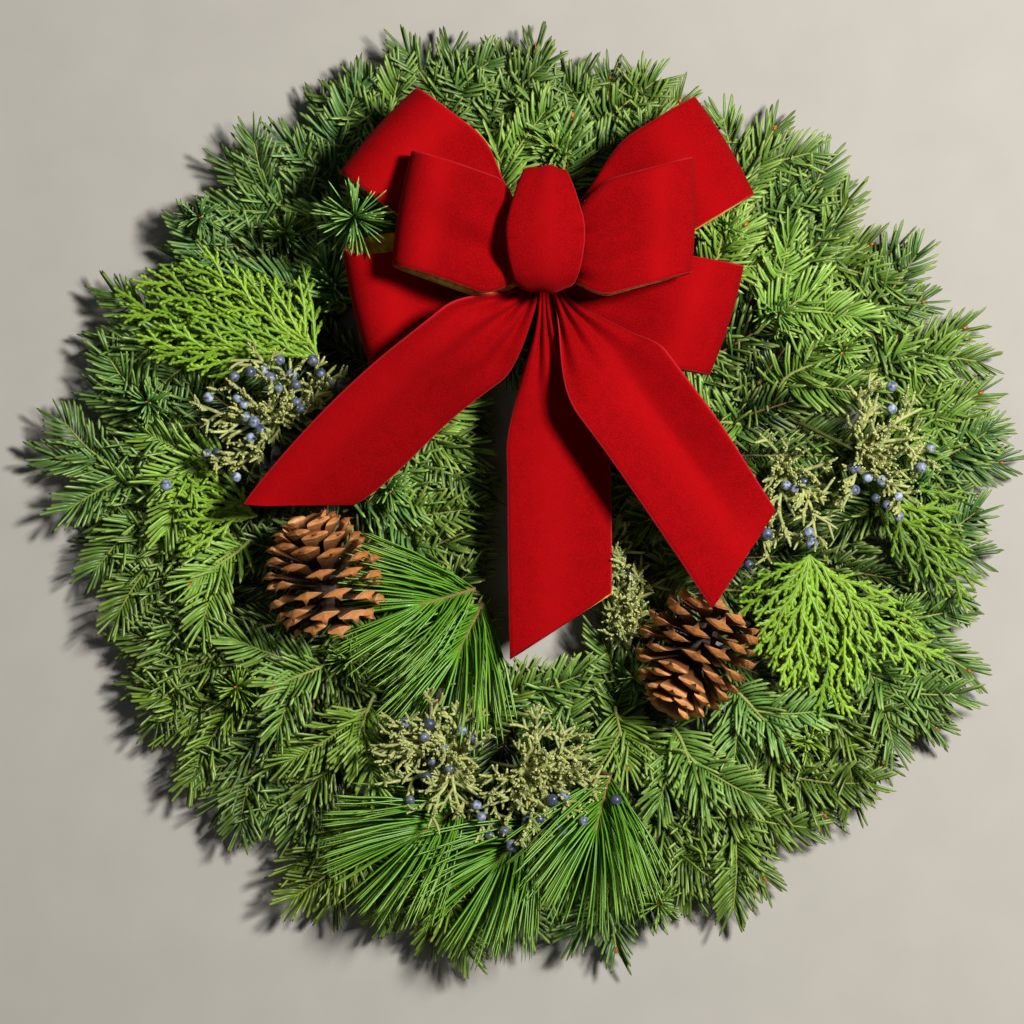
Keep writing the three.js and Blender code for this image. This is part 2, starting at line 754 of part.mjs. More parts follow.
// A loop leaves the tie low, rounds its far edge and comes back high
function loopStations({ anchorY, corners, lower, upper }) {
  const [first, second] = corners.map(([x, y]) => vector(x, y, 0));
  const far = first.clone().add(second).multiplyScalar(0.5);
  const anchor = vector(TIE.x, anchorY, 0);
  const outward = far.clone().sub(anchor);
  const length = outward.length();
  outward.normalize();
  const farAcross = second.clone().sub(first).normalize();
  const tieAcross = vector(0, Math.sign(farAcross.y), 0);
  const start = TIE.radius + 0.5;
  const middle = (lower[2] + upper[2]) / 2;
  const profile = new THREE.CatmullRomCurve3([
    vector(start, 0, lower[0]),
    vector(start + 7, 0, lower[0]),
    vector(0.3 * length, 0, lower[1]),
    vector(0.72 * length, 0, lower[2]),
    vector(0.95 * length, 0, lower[2] + 5),
    vector(length, 0, middle),
    vector(0.94 * length, 0, upper[2] - 4),
    vector(0.7 * length, 0, upper[2]),
    vector(0.3 * length, 0, upper[1]),
    vector(start + 7, 0, upper[0]),
    vector(start, 0, upper[0]),
  ]);
  return profile.getSpacedPoints(LOOP_STATIONS).map((point) => {
    const share = THREE.MathUtils.smoothstep(point.x, 0, 0.55 * length);
    const width = THREE.MathUtils.lerp(RIBBON_PINCH, RIBBON_WIDTH, share);
    const across = tieAcross.clone().lerp(farAcross, share).normalize();
    const centre = anchor.clone().addScaledVector(outward, point.x);
    centre.z = point.z;
    return {
      left: centre.clone().addScaledVector(across, -width / 2),
      right: centre.clone().addScaledVector(across, width / 2),
    };
  });
}

function addBow(group) {
  LOOPS.forEach((loop) => addRibbon(group, loop.name, loopStations(loop)));
  addRibbon(group, KNOT.name, knotStations());
  TAILS.forEach((tail) => addRibbon(group, tail.name, tailStations(tail)));
  addTie(group);
}

function knotStations() {
  return KNOT.route.map(([y, height, half]) => ({
    left: vector(TIE.x - half, y, height),
    right: vector(TIE.x + half, y, height),
  }));
}

// A tail widens from its gathered top to its full width and ends in a slanted cut
function tailStations({ level: step, startX, width: full, tilt, route, cut }) {
  const [cutLeft, cutRight] = cut.map((place) => vector(...place));
  const end = cutLeft.clone().add(cutRight).multiplyScalar(0.5);
  const top = vector(startX, TIE.y - TIE.radius - 0.5, level(step));
  const line = new THREE.CatmullRomCurve3([top, ...route.map((place) => vector(...place)), end]);
  const length = line.getLength();
  return line.getSpacedPoints(TAIL_STATIONS).map((point, i) => {
    const share = i / TAIL_STATIONS;
    const along = line.getTangentAt(share);
    const square = vector(along.y, -along.x, 0).normalize();
    if (square.x < 0) square.negate();
    const spread = THREE.MathUtils.smoothstep(share * length, 22, 104);
    const half = THREE.MathUtils.lerp(TAIL_GATHER, full, spread) / 2;
    const angle = THREE.MathUtils.degToRad(tilt * spread);
    const rise = vector(0, 0, half * Math.tan(angle));
    const left = point.clone().addScaledVector(square, -half).add(rise);
    const right = point.clone().addScaledVector(square, half).sub(rise);
    const slant = THREE.MathUtils.smoothstep(share, 0.55, 1) ** 3;
    return { left: left.lerp(cutLeft, slant), right: right.lerp(cutRight, slant) };
  });
}

// The tie wire holds the gathers and runs back through the greenery to the ring
function addTie(group) {
  const foot = onRing(TIE.footBearing, RING_TOP + SEAT_GAP + TIE.radius);
  const points = [
    vector(TIE.x, TIE.y, TIE.top),
    vector(TIE.x, TIE.y, TIE.bottom),
    vector(TIE.x, TIE.y + 6, 30),
    foot,
  ];
  addWire(group, "bow_tie_wire", points, TIE.radius, 9);
}

function addWire(group, name, points, radius, steps) {
  addPiece(group, name, wireAlong(points, radius, steps, 5), "wire");
  pairs(new THREE.CatmullRomCurve3(points).getPoints(8)).forEach(([from, to]) => {
    clearance.add(name, 0, from, to, radius + 0.3);
  });
}

// A cone's core along +Z as a lattice of rhombs, each raised into a scale with a rhombic end
function coneGeometry() {
  const vertices = [];
  const faces = [];
  const at = (row, column) => row * CONE_COLUMNS + ((column + CONE_COLUMNS) % CONE_COLUMNS);
  for (let row = 0; row <= CONE_ROWS; row += 1) {
    const share = row / CONE_ROWS;
    const girth = CONE_CORE_RADIUS * Math.sin(Math.PI * (0.1 + 0.8 * share)) ** 0.7;
    for (let column = 0; column < CONE_COLUMNS; column += 1) {
      const angle = (2 * Math.PI * (column + (row % 2) / 2)) / CONE_COLUMNS;
      const height = CONE_HEIGHT * (share - 0.5);
      vertices.push(vector(girth * Math.cos(angle), girth * Math.sin(angle), height));
    }
  }
  const focus = vector(0, 0, CONE_FOCUS);
  for (let row = 1; row < CONE_ROWS; row += 1) {
    for (let column = 0; column < CONE_COLUMNS; column += 1) {
      const shift = row % 2;
      const rhomb = [
        at(row, column),
        at(row - 1, column + shift),
        at(row, column + 1),
        at(row + 1, column + shift),
      ];
      faces.push(...raiseScale(vertices, rhomb, focus));
    }
  }
  closeCone(vertices, faces, at);
  const geometry = new THREE.BufferGeometry().setFromPoints(vertices);
  return geometry.setIndex(faces.flat());
}

function raiseScale(vertices, rhomb, focus) {
  const middle = vector(0, 0, 0);
  rhomb.forEach((index) => middle.addScaledVector(vertices[index], 0.25));
  const out = middle.clone().sub(focus).normalize().multiplyScalar(CONE_SCALE_LENGTH);
  const shrink = [0.72, 0.42, 0.72, 0.42];
  const end = rhomb.map((index, k) => {
    const corner = middle.clone().lerp(vertices[index], shrink[k]).add(out);
    return vertices.push(corner) - 1;
  });
  const faces = [[end[0], end[1], end[2]], [end[0], end[2], end[3]]];
  rhomb.forEach((index, k) => {
    const next = (k + 1) % 4;
    faces.push([index, rhomb[next], end[next]], [index, end[next], end[k]]);
  });
  return faces;
}

// The two ends of the core: a triangle between each pair of scales, and a fan to the axis
function closeCone(vertices, faces, at) {
  const bottom = vertices.push(vector(0, 0, -CONE_HEIGHT / 2 - 3)) - 1;
  const top = vertices.push(vector(0, 0, CONE_HEIGHT / 2 + 8)) - 1;
  const shift = CONE_ROWS % 2;
  for (let column = 0; column < CONE_COLUMNS; column += 1) {
    faces.push([at(0, column), at(0, column + 1), at(1, column)]);
    faces.push([at(0, column + 1), at(0, column), bottom]);
    const inner = at(CONE_ROWS - 1, column + shift);
    faces.push([at(CONE_ROWS, column + 1), at(CONE_ROWS, column), inner]);
    faces.push([at(CONE_ROWS, column), at(CONE_ROWS, column + 1), top]);
  }
}

function addCone(group, { name, centre, axis, wireBearing }) {
  const middle = vector(...centre);
  const direction = vector(...axis).normalize();
  const turn = new THREE.Quaternion().setFromUnitVectors(vector(0, 0, 1), direction);
  const cone = coneGeometry().applyQuaternion(turn).translate(...centre);
  addPiece(group, name, toSolid(cone), "cone");
  const half = direction.clone().multiplyScalar(CONE_HEIGHT * 0.14);
  clearance.add(name, 0, middle.clone().sub(half), middle.clone().add(half), CONE_RADIUS - 1);
  addConeWire(group, name, middle, wireBearing, cone);
}

// The wire pick that holds a cone runs from its lowest scale to the ring
function addConeWire(group, name, middle, bearing, cone) {
  const radius = 1.2;
  const foot = onRing(bearing, RING_TOP + SEAT_GAP + radius);
  const position = cone.attributes.position;
  let lowest = middle;
  for (let i = 0; i < position.count; i += 1) {
    const place = vector(position.getX(i), position.getY(i), position.getZ(i));
    if (place.z < lowest.z) lowest = place;
  }
  const top = lowest.clone().add(vector(0, 0, -radius - 0.3));
  const bend = top.clone().lerp(foot, 0.4);
  bend.z = top.z - 4;
  addWire(group, `${name}_wire`, [top, bend, foot], radius, 7);
}

// Bends a stem upward, step by step, until it is clear of every other piece. It may touch
// the ring wire, which it rests on, and the other stems of its own node.
function placeStem(node, twig, points) {
  const ignored = (other) => other.node === node || other.node === RING_WIRE;
  for (let lift = 0; lift <= STEM_MOST_LIFT; lift += STEM_LIFT_STEP) {
    const lifted = points.map((point, i) => {
      const share = i === 0 ? 0 : 1 / (1 + TIP_SAG * (i - 1));
      return point.clone().add(vector(0, 0, lift * share));
    });
    const steps = pairs(new THREE.CatmullRomCurve3(lifted).getPoints(CAPSULES_PER_STEM));
    const fits = ([from, to]) =>
      clearance.isClear(from, to, STEM_RADIUS, ignored) && staysOutOfHole(from, to);
    if (steps.every(fits)) {
      steps.forEach(([from, to]) => clearance.add(node, twig, from, to, STEM_RADIUS));
      return lifted;
    }
  }
  return null;
}

const bunchName = (index) => `fir_bunch_${String(index + 1).padStart(2, "0")}`;

function buttEnds(bearing) {
  const middle = onRing(bearing, BUTT_HEIGHT);
  const tangent = tangentAt(bearing);
  return [-1, 1].map((side) => middle.clone().addScaledVector(tangent, side * (BUTT_HALF_LENGTH - 3)));
}

function placeButt(index) {
  const [from, to] = buttEnds(clampBearings[index]);
  clearance.add(bunchName(index), "butt", from, to, BUTT_RADIUS);
}

// Each spray leaves the nearer end of the butt, passes where its needles start and ends
// just short of where they end
function placeSprays(sprays, index) {
  const node = bunchName(index);
  const ends = buttEnds(clampBearings[index]);
  return sprays.flatMap(({ from, to }, i) => {
    const start = ends[0].distanceTo(from) < ends[1].distanceTo(from) ? ends[0] : ends[1];
    start.z = BUTT_HEIGHT + SPRAY_STAGGER * (i - 1);
    const back = from.clone().sub(to).normalize().multiplyScalar(TIP_REACH);
    const points = placeStem(node, i, [start.clone(), from, to.clone().add(back)]);
    return points ? [{ id: i, points }] : [];
  });
}

function addFirBunch(group, index, sprays) {
  const node = bunchName(index);
  const grow = () => {
    const twigs = sprays.map(({ id, points }) => {
      const bare = 0.8 * points[0].distanceTo(points[1]);
      return new Twig(node, id, points, bare, GROWTH.fir).grow();
    });
    return [butt(clampBearings[index]), ...twigs];
  };
  addPiece(group, node, growSound(node, grow), "fir");
}

// An accent green stands on the ring by a stem, and its twigs leave the top of that stem
function placeAccentStem({ name, bearing, root, height }) {
  const foot = onRing(bearing, RING_TOP + SEAT_GAP + STEM_RADIUS / 2);
  const top = vector(root[0], root[1], height);
  const middle = foot.clone().lerp(top, 0.4);
  middle.z = Math.max(22, 0.6 * height);
  return placeStem(name, "stem", [foot, middle, top]);
}

function twigPoints(root, [x, y], rise) {
  const end = vector(x, y, root.z + rise);
  const middle = root.clone().lerp(end, 0.5);
  middle.z += 2;
  return [root.clone(), middle, end];
}

// The twigs leave a small knuckle, which the top of the stem ends in
function forkPlace({ stem }) {
  const path = new THREE.CatmullRomCurve3(stem);
  return path.getPointAt(1 - FORK_DEPTH / path.getLength());
}

function placeTwigs(accent, rises) {
  const root = forkPlace(accent);
  return accent.tips.flatMap((tip, i) => {
    const points = placeStem(accent.name, i, twigPoints(root, tip, rises[i % rises.length]));
    return points ? [{ id: i, points }] : [];
  });
}

function growTwigs(accent, twigs, growth) {
  return twigs.map(({ id, points }) => {
    const bare = BARE_SHARE * points[0].distanceTo(points.at(-1));
    return new Twig(accent.name, id, points, bare, growth).grow();
  });
}

function ball(place, radius) {
  const shape = new THREE.IcosahedronGeometry(radius, 0);
  return toSolid(shape.translate(place.x, place.y, place.z));
}

// A berry sits on each of the first twigs, sunk a little into it
function growBerries(accent, twigs) {
  return twigs.slice(0, JUNIPER_BERRIES).flatMap(({ points }, i) => {
    const path = new THREE.CatmullRomCurve3(points);
    const seat = path.getPointAt(0.4 + 0.12 * (i % 3)).add(vector(0, 0, BERRY_RADIUS * 0.7));
    const above = seat.clone().add(vector(0, 0, 0.1));
    const ignored = (other) => other.node === accent.name;
    if (!clearance.isClear(seat, above, BERRY_RADIUS, ignored)) return [];
    clearance.add(accent.name, "berries", seat, above, BERRY_RADIUS);
    return [ball(seat, BERRY_RADIUS)];
  });
}

function addAccent(group, accent, growth, finish, withBerries = false) {
  const stem = wireAlong(accent.stem, STEM_RADIUS, 6, 4);
  const fork = ball(forkPlace(accent), FORK_RADIUS);
  const grow = () => {
    const berries = withBerries ? growBerries(accent, accent.twigs) : [];
    return [stem, fork, ...berries, ...growTwigs(accent, accent.twigs, growth)];
  };
  addPiece(group, accent.name, growSound(accent.name, grow), finish);
}

// A tuft's long needles fan out from the last stretch of its twig
function placeTuft(tuft) {
  const foot = onRing(tuft.bearing, RING_TOP + SEAT_GAP + 0.75 * STEM_RADIUS);
  const root = vector(...tuft.root, tuft.height);
  const aim = vector(...tuft.aim, tuft.height).sub(root).normalize();
  const lead = root.clone().addScaledVector(aim, -PINE_TUFT_DEPTH / 2 - PINE_STRAIGHT_LEAD);
  const before = root.clone().addScaledVector(aim, -PINE_TUFT_DEPTH / 2);
  const end = root.clone().addScaledVector(aim, PINE_TUFT_DEPTH / 2);
  const middle = foot.clone().lerp(lead, 0.5);
  middle.z = 0.7 * tuft.height;
  return placeStem(tuft.name, 0, [foot, middle, lead, before, end]);
}

function addTuft(group, tuft) {
  const path = new THREE.CatmullRomCurve3(tuft.stem);
  const bare = path.getLength() - PINE_TUFT_DEPTH;
  const grow = () => [new Twig(tuft.name, 0, tuft.stem, bare, GROWTH.pine).grow()];
  addPiece(group, tuft.name, growSound(tuft.name, grow), "pine");
}

function withStems(accents, place) {
  const placed = accents.map((accent) => ({ ...accent, stem: place(accent) }));
  return placed.filter(({ stem }) => stem);
}

function withTwigs(accents, rises) {
  return accents.map((accent) => ({ ...accent, twigs: placeTwigs(accent, rises) }));
}

// Every stem is placed before any needle, so that the needles fill the room that is left
function buildWreath() {
  const group = new THREE.Group();
  addRing(group);
  addBow(group);
  CONES.forEach((cone) => addCone(group, cone));
  FIR_BUNCHES.forEach((_, i) => placeButt(i));
  const sprays = FIR_BUNCHES.map(placeSprays);
  const cedars = withTwigs(withStems(CEDAR_FANS, placeAccentStem), [-6, 0, 5]);
  const junipers = withTwigs(withStems(JUNIPER_SPRIGS, placeAccentStem), [4, 8]);
  const tufts = withStems(PINE_TUFTS, placeTuft);
  junipers.forEach((sprig) => addAccent(group, sprig, GROWTH.juniper, "juniper", true));
  cedars.forEach((fan) => addAccent(group, fan, GROWTH.cedar, "cedar"));
  tufts.forEach((tuft) => addTuft(group, tuft));
  sprays.forEach((placedSprays, i) => addFirBunch(group, i, placedSprays));
  return group;
}

export default buildWreath();
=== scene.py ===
"""A fresh evergreen wreath with a red velvet bow, lying on its back, dressed for the picture.

The layout is in millimetres from the middle of the wire ring: x to the right, y to the top,
z out of the front. A bearing is an angle in degrees from the top, clockwise.
"""

import logging
import random
from collections.abc import Callable
from dataclasses import dataclass, field
from enum import Enum
from functools import partial
from math import atan2, copysign, cos, degrees, exp, pi, radians, sin, sqrt, tan, tau

import bmesh
import bpy
from mathutils import Matrix, Vector

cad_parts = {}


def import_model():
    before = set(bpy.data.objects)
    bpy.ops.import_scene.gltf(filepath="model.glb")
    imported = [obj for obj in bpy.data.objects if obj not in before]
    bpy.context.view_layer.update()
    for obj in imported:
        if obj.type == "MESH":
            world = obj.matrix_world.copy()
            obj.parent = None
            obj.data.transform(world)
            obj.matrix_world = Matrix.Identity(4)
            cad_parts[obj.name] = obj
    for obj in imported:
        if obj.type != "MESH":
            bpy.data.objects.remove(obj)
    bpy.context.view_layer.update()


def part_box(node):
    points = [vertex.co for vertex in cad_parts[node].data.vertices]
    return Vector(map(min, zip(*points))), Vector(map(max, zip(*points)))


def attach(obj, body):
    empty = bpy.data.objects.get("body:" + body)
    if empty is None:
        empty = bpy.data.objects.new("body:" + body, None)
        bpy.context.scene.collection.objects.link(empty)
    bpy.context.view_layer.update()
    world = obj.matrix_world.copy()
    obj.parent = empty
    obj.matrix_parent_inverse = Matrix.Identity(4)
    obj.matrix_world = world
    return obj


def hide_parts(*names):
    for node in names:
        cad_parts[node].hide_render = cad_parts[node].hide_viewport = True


LOG = logging.getLogger("wreath")
MM = 0.001
Spot = Span = tuple[float, float]
Place = tuple[float, float, float]
Fill = list[tuple[list[Vector], float]]
Colour = tuple[float, float, float, float]
Socket, Material, Tree = bpy.types.NodeSocket, bpy.types.Material, bpy.types.NodeTree
Piece, Mesh = bpy.types.Object, bpy.types.Mesh


# ---------------------------------------------------------------- layout of the greenery

RING_RADIUS = 165.0
BUTT_HEIGHT = 9.1
FOOT_HEIGHT = 8.0
# A share past the tip leaves a twig bare; stems lie in the dark of the wreath
NO_NEEDLES = 1.1
STEM_SHADE = 0.2
CLAMP_STEP = 20.0
HOLE_LOW = Vector((-20.0, -104.0))
HOLE_HIGH = Vector((42.0, 62.0))
TIE_X = 12.0
TIE_Y = 140.0
TIE_RADIUS = 2.4
LOWEST_LEVEL = 64.0
LEVEL_STEP = 1.8
RIBBON_WIDTH = 70.0
RELIEF_STRENGTH = 0.8
# A wave texture has 20 bands in a unit of its scale
WAVES_PER_UNIT = 20


class Layer(Enum):
    """Where a fir spray lies: over the outer edge, on top or to the middle, with its two heights."""

    RIM = (21.0, 17.0)
    FACE = (33.0, 42.0)
    INNER = (24.0, 30.0)


@dataclass(frozen=True)
class Spray:
    """A fir spray, from the place where its needles start to where they end."""

    layer: Layer
    start: Spot
    tip: Spot


def lay(layer: Layer, x0: float, y0: float, x1: float, y1: float) -> Spray:
    """A spray in a layer, from one place to another."""
    return Spray(layer, (x0, y0), (x1, y1))


rim, face, inner = partial(lay, Layer.RIM), partial(lay, Layer.FACE), partial(lay, Layer.INNER)


@dataclass(frozen=True)
class BunchPlan:
    """The sprays in one clamp, how blue their green is and how light, each from 0 to 1."""

    hue: float
    light: float
    sprays: tuple[Spray, ...]


BUNCHES: tuple[BunchPlan, ...] = tuple(BunchPlan(*row) for row in (
    (0.45, 0.50, (
        rim(-16, 222, -13, 285), rim(4, 235, 7, 293), face(22, 195, 31, 248), face(-14, 190, -20, 232),
    )),
    (0.48, 0.56, (rim(46, 217, 55, 274), rim(70, 205, 102, 258), face(75, 165, 96, 215))),
    (0.52, 0.58, (
        rim(128, 184, 161, 241), rim(149, 165, 206, 192), face(110, 140, 143, 178),
        inner(100, 105, 92, 70),
    )),
    (0.48, 0.58, (
        rim(168, 138, 226, 164), rim(204, 114, 259, 126), rim(222, 82, 284, 112), face(150, 110, 190, 138),
    )),
    (0.60, 0.55, (
        rim(236, 46, 294, 71), rim(244, 26, 308, 23), face(160, 74, 208, 100), inner(130, 48, 80, 52),
    )),
    (0.50, 0.54, (rim(222, 0, 273, -2), rim(238, -26, 293, -37), inner(120, -2, 82, 14))),
    (0.40, 0.52, (rim(222, -72, 286, -112), rim(206, -100, 265, -149), inner(110, -40, 78, -30))),
    (0.50, 0.45, (
        rim(178, -122, 230, -172), rim(146, -148, 194, -205), face(130, -118, 170, -158),
        inner(84, -72, 60, -58),
    )),
    (0.55, 0.48, (
        rim(120, -190, 155, -245), rim(84, -192, 108, -257), face(92, -142, 118, -196),
        face(56, -128, 66, -176),
    )),
    (0.55, 0.58, (rim(50, -222, 58, -291), rim(20, -212, 9, -267), inner(34, -118, -8, -134))),
    (0.30, 0.50, (
        rim(-16, -226, -22, -280), rim(-46, -226, -62, -283), rim(-104, -206, -124, -264),
    )),
    (0.30, 0.45, (
        rim(-132, -172, -148, -222), rim(-160, -158, -198, -197), face(-94, -122, -112, -166),
    )),
    (0.35, 0.50, (
        rim(-172, -124, -234, -146), rim(-192, -98, -250, -118), face(-124, -102, -166, -120),
        inner(-86, -78, -56, -84),
    )),
    (0.30, 0.60, (rim(-200, -68, -254, -92), rim(-212, -28, -266, -50), face(-176, -30, -216, -58))),
    (0.50, 0.58, (
        rim(-226, 16, -308, 28), rim(-218, -6, -276, -14), face(-194, 24, -240, 6), inner(-96, 0, -50, -6),
    )),
    (0.65, 0.55, (
        rim(-212, 46, -275, 70), rim(-205, 100, -274, 98), inner(-84, 34, -26, 66),
        inner(-92, 14, -34, 34),
    )),
    (0.55, 0.45, (
        rim(-172, 138, -226, 152), rim(-160, 150, -203, 181), rim(-140, 172, -193, 217),
        face(-112, 122, -134, 160),
    )),
    (0.60, 0.50, (
        rim(-112, 196, -130, 256), rim(-84, 222, -108, 271), rim(-50, 236, -45, 291),
        face(-78, 172, -106, 196),
    )),
))


@dataclass(frozen=True)
class AccentPlan:
    """An accent green: the node it stands for, the top of its stem and its tips."""

    node: str
    bearing: float
    root: Spot
    height: float
    tips: tuple[Spot, ...]


CEDARS: tuple[AccentPlan, ...] = tuple(AccentPlan(*row) for row in (
    ("cedar_fan_upper_left", 291, (-128, 88), 44, (
        (-250, 122), (-232, 142), (-205, 148), (-172, 132), (-142, 116), (-232, 94),
    )),
    ("cedar_fan_left", 272, (-166, -10), 40, ((-220, -5), (-203, 12), (-204, -22))),
    ("cedar_fan_right", 108, (176, -34), 44, (
        (152, -68), (150, -96), (170, -112), (194, -130), (210, -110), (246, -98),
    )),
    ("cedar_fan_far_right", 92, (210, 14), 36, ((238, 52), (262, -18), (276, -60))),
))

JUNIPERS: tuple[AccentPlan, ...] = tuple(AccentPlan(*row) for row in (
    ("juniper_sprig_left", 287, (-156, 48), 46, (
        (-205, 60), (-170, 96), (-118, 82), (-120, 64), (-192, 18), (-170, 14),
    )),
    ("juniper_sprig_right", 70, (206, 30), 44, (
        (218, 72), (196, -4), (244, 56), (250, 22), (232, -10),
    )),
    ("juniper_sprig_inner_right", 88, (162, 18), 42, (
        (150, 36), (184, 22), (180, -26), (148, -36),
    )),
    ("juniper_sprig_bottom_left", 193, (-46, -158), 46, (
        (-88, -132), (-93, -152), (-84, -174), (-60, -118), (-66, -190), (-30, -126), (-40, -194),
        (-22, -142),
    )),
    ("juniper_sprig_bottom", 190, (-2, -166), 42, (
        (30, -142), (44, -160), (46, -184), (22, -206), (-4, -212), (-28, -206), (4, -130),
    )),
    ("juniper_sprig_middle", 152, (64, -92), 34, ((50, -12), (62, -34), (70, -50), (48, -62))),
))

# Across and up, berry by berry
BERRIES: dict[str, tuple[int, ...]] = {
    "juniper_sprig_left": (
        -169, 79, -161, 80, -157, 75, -152, 69, -144, 77, -141, 71, -126, 78, -119, 72, -113, 71, -179, 76,
        -195, 63, -177, 63, -173, 59, -172, 51, -167, 48, -141, 60, -138, 56, -169, 38, -163, 43, -153, 30,
        -147, 25, -161, 22, -154, 22, -196, 28, -190, 29, -151, 86, -131, 86, -178, 14, -221, 9,
    ),
    "juniper_sprig_right": (
        226, 70, 226, 56, 203, 20, 211, 14, 203, 6, 223, -3, 230, 2, 230, -10, 250, 32, 244, 20, 216, 1,
        220, 12,
    ),
    "juniper_sprig_inner_right": (161, 9, 166, 7, 172, 11, 177, -27, 175, -20, 138, -40, 149, -21),
    "juniper_sprig_bottom_left": (
        -74, -137, -59, -138, -62, -146, -39, -142, -32, -147, -51, -153, -45, -158, -57, -161, -61, -171,
        -47, -166, -71, -185, -30, -188, -27, -195,
    ),
    "juniper_sprig_bottom": (
        -13, -204, -22, -207, 1, -197, 9, -197, 17, -185, 24, -182, 19, -200, 23, -205, 36, -198, -8, -213,
        56, -185,
    ),
    "juniper_sprig_middle": (52, -30, 66, -46),
}


@dataclass(frozen=True)
class TuftPlan:
    """A tuft of long pine needles: the node it stands for, its middle and where it points."""

    node: str
    bearing: float
    root: Spot
    height: float
    aim: Spot


TUFTS: tuple[TuftPlan, ...] = tuple(TuftPlan(*row) for row in (
    ("pine_tuft_centre", 248, (-48, -60), 36, (-90, -72)),
    ("pine_tuft_inner", 230, (-34, -80), 30, (-62, -136)),
    ("pine_tuft_lower_left", 210, (-52, -198), 38, (-112, -240)),
    ("pine_tuft_bottom", 187, (-6, -212), 34, (-52, -264)),
    ("pine_tuft_lower_right", 170, (48, -188), 40, (30, -262)),
))


def up(height: float) -> Vector:
    """A step straight up."""
    return Vector((0, 0, height))


def on_ring(bearing: float, height: float, radius: float = RING_RADIUS) -> Vector:
    """The place at a bearing on the ring, at a height."""
    angle = radians(bearing)
    return Vector((radius * sin(angle), radius * cos(angle), height))


def in_hole(place: Vector, margin: float = 3.0) -> bool:
    """Whether a place lies in the open middle of the wreath."""
    low, high = HOLE_LOW, HOLE_HIGH
    return low.x - margin < place.x < high.x + margin and low.y - margin < place.y < high.y + margin


FINE_STEPS = 12


def smooth_path(points: list[Vector], count: int) -> list[Vector]:
    """Evenly spaced places on a smooth curve through the given points.

    Args:
        points: The points that the curve passes.
        count: How many places to return.

    Returns:
        The places, from the first point to the last.
    """
    ends = [points[0] * 2 - points[1], *points, points[-1] * 2 - points[-2]]
    fine: list[Vector] = []
    for a, b, c, d in zip(ends, ends[1:], ends[2:], ends[3:]):
        before, here, after = (max((q - p).length, 1e-6) ** 0.5 for p, q in ((a, b), (b, c), (c, d)))
        leave = ((b - a) / before - (c - a) / (before + here) + (c - b) / here) * here
        arrive = ((c - b) / here - (d - b) / (here + after) + (d - c) / after) * here
        for k in range(FINE_STEPS):
            t = k / FINE_STEPS
            square, cube = t * t, t**3
            fine.append(
                b * (2 * cube - 3 * square + 1) + leave * (cube - 2 * square + t)
                + c * (3 * square - 2 * cube) + arrive * (cube - square)
            )
    fine.append(points[-1].copy())
    runs = [0.0]
    for a, b in zip(fine, fine[1:]):
        runs.append(runs[-1] + (b - a).length)
    places: list[Vector] = []
    at = 0
    for k in range(count):
        want = runs[-1] * k / (count - 1)
        while at < len(runs) - 2 and runs[at + 1] < want:
            at += 1
        span = max(runs[at + 1] - runs[at], 1e-9)
        places.append(fine[at].lerp(fine[at + 1], min(max((want - runs[at]) / span, 0.0), 1.0)))
    return places


def arch(near: Vector, far: Vector, rise: float, count: int) -> list[Vector]:
    """A path between two places whose middle stands a little higher."""
    return smooth_path([near, near.lerp(far, 0.5) + up(rise), far], count)


# ---------------------------------------------------------------- node trees and meshes

# Kinds of node, with what they are always set to
TIMES, PLUS, MINUS, POWER, MODULO, COSINE, SINE, ABOVE, ABSOLUTE, TIMES_PLUS = (
    ("ShaderNodeMath", {"operation": how})
    for how in (
        "MULTIPLY", "ADD", "SUBTRACT", "POWER", "MODULO", "COSINE", "SINE", "GREATER_THAN", "ABSOLUTE", "MULTIPLY_ADD",
    )
)
UNIT, CROSS, SCALED, SUMMED, HIGHEST = (
    ("ShaderNodeVectorMath", {"operation": how}) for how in ("NORMALIZE", "CROSS_PRODUCT", "SCALE", "ADD", "MAXIMUM")
)
MIX = ("ShaderNodeMix", {"data_type": "RGBA"})
TINT = ("ShaderNodeMix", {"data_type": "RGBA", "blend_type": "MULTIPLY", "Factor": 1.0})
NAMED, STORE = "GeometryNodeInputNamedAttribute", "GeometryNodeStoreNamedAttribute"
AXES = ("FunctionNodeAxesToRotation", {"primary_axis": "Z", "secondary_axis": "Y"})
SHAPE = ("GeometryNodeObjectInfo", {"transform_space": "ORIGINAL"})
RANGE, NOISE = "ShaderNodeMapRange", "ShaderNodeTexNoise"
Kind = str | tuple[str, dict[str, object]]


def add_node(tree: Tree, kind: Kind, *values: object, **named: object) -> Socket | None:
    """Adds a node with its settings and links.

    Args:
        tree: The tree that gets the node.
        kind: The node's type name, alone or with what it is always set to.
        values: Values, hex colours or output sockets for its first inputs, in their order.
        named: Settings of the node, by their names in small letters, and what its inputs get,
            by their capitalised names with _ for a space.

    Returns:
        The node's first output that is in use, or None where it has none.
    """
    kind, settings = (kind, {}) if isinstance(kind, str) else kind
    made = tree.nodes.new(kind)
    wanted = []
    for name, value in (settings | named).items():
        if name.islower():
            setattr(made, name, value)
        else:
            wanted.append((name.replace("_", " "), value))
    pairs = [(made.inputs[place], value) for place, value in enumerate(values)]
    pairs += [(next(s for s in made.inputs if s.name == name and s.enabled), value) for name, value in wanted]
    for socket, value in pairs:
        if isinstance(value, Socket):
            tree.links.new(value, socket)
        else:
            socket.default_value = linear(value) if socket.type == "RGBA" and isinstance(value, str) else value
    return next((s for s in made.outputs if s.enabled), None)


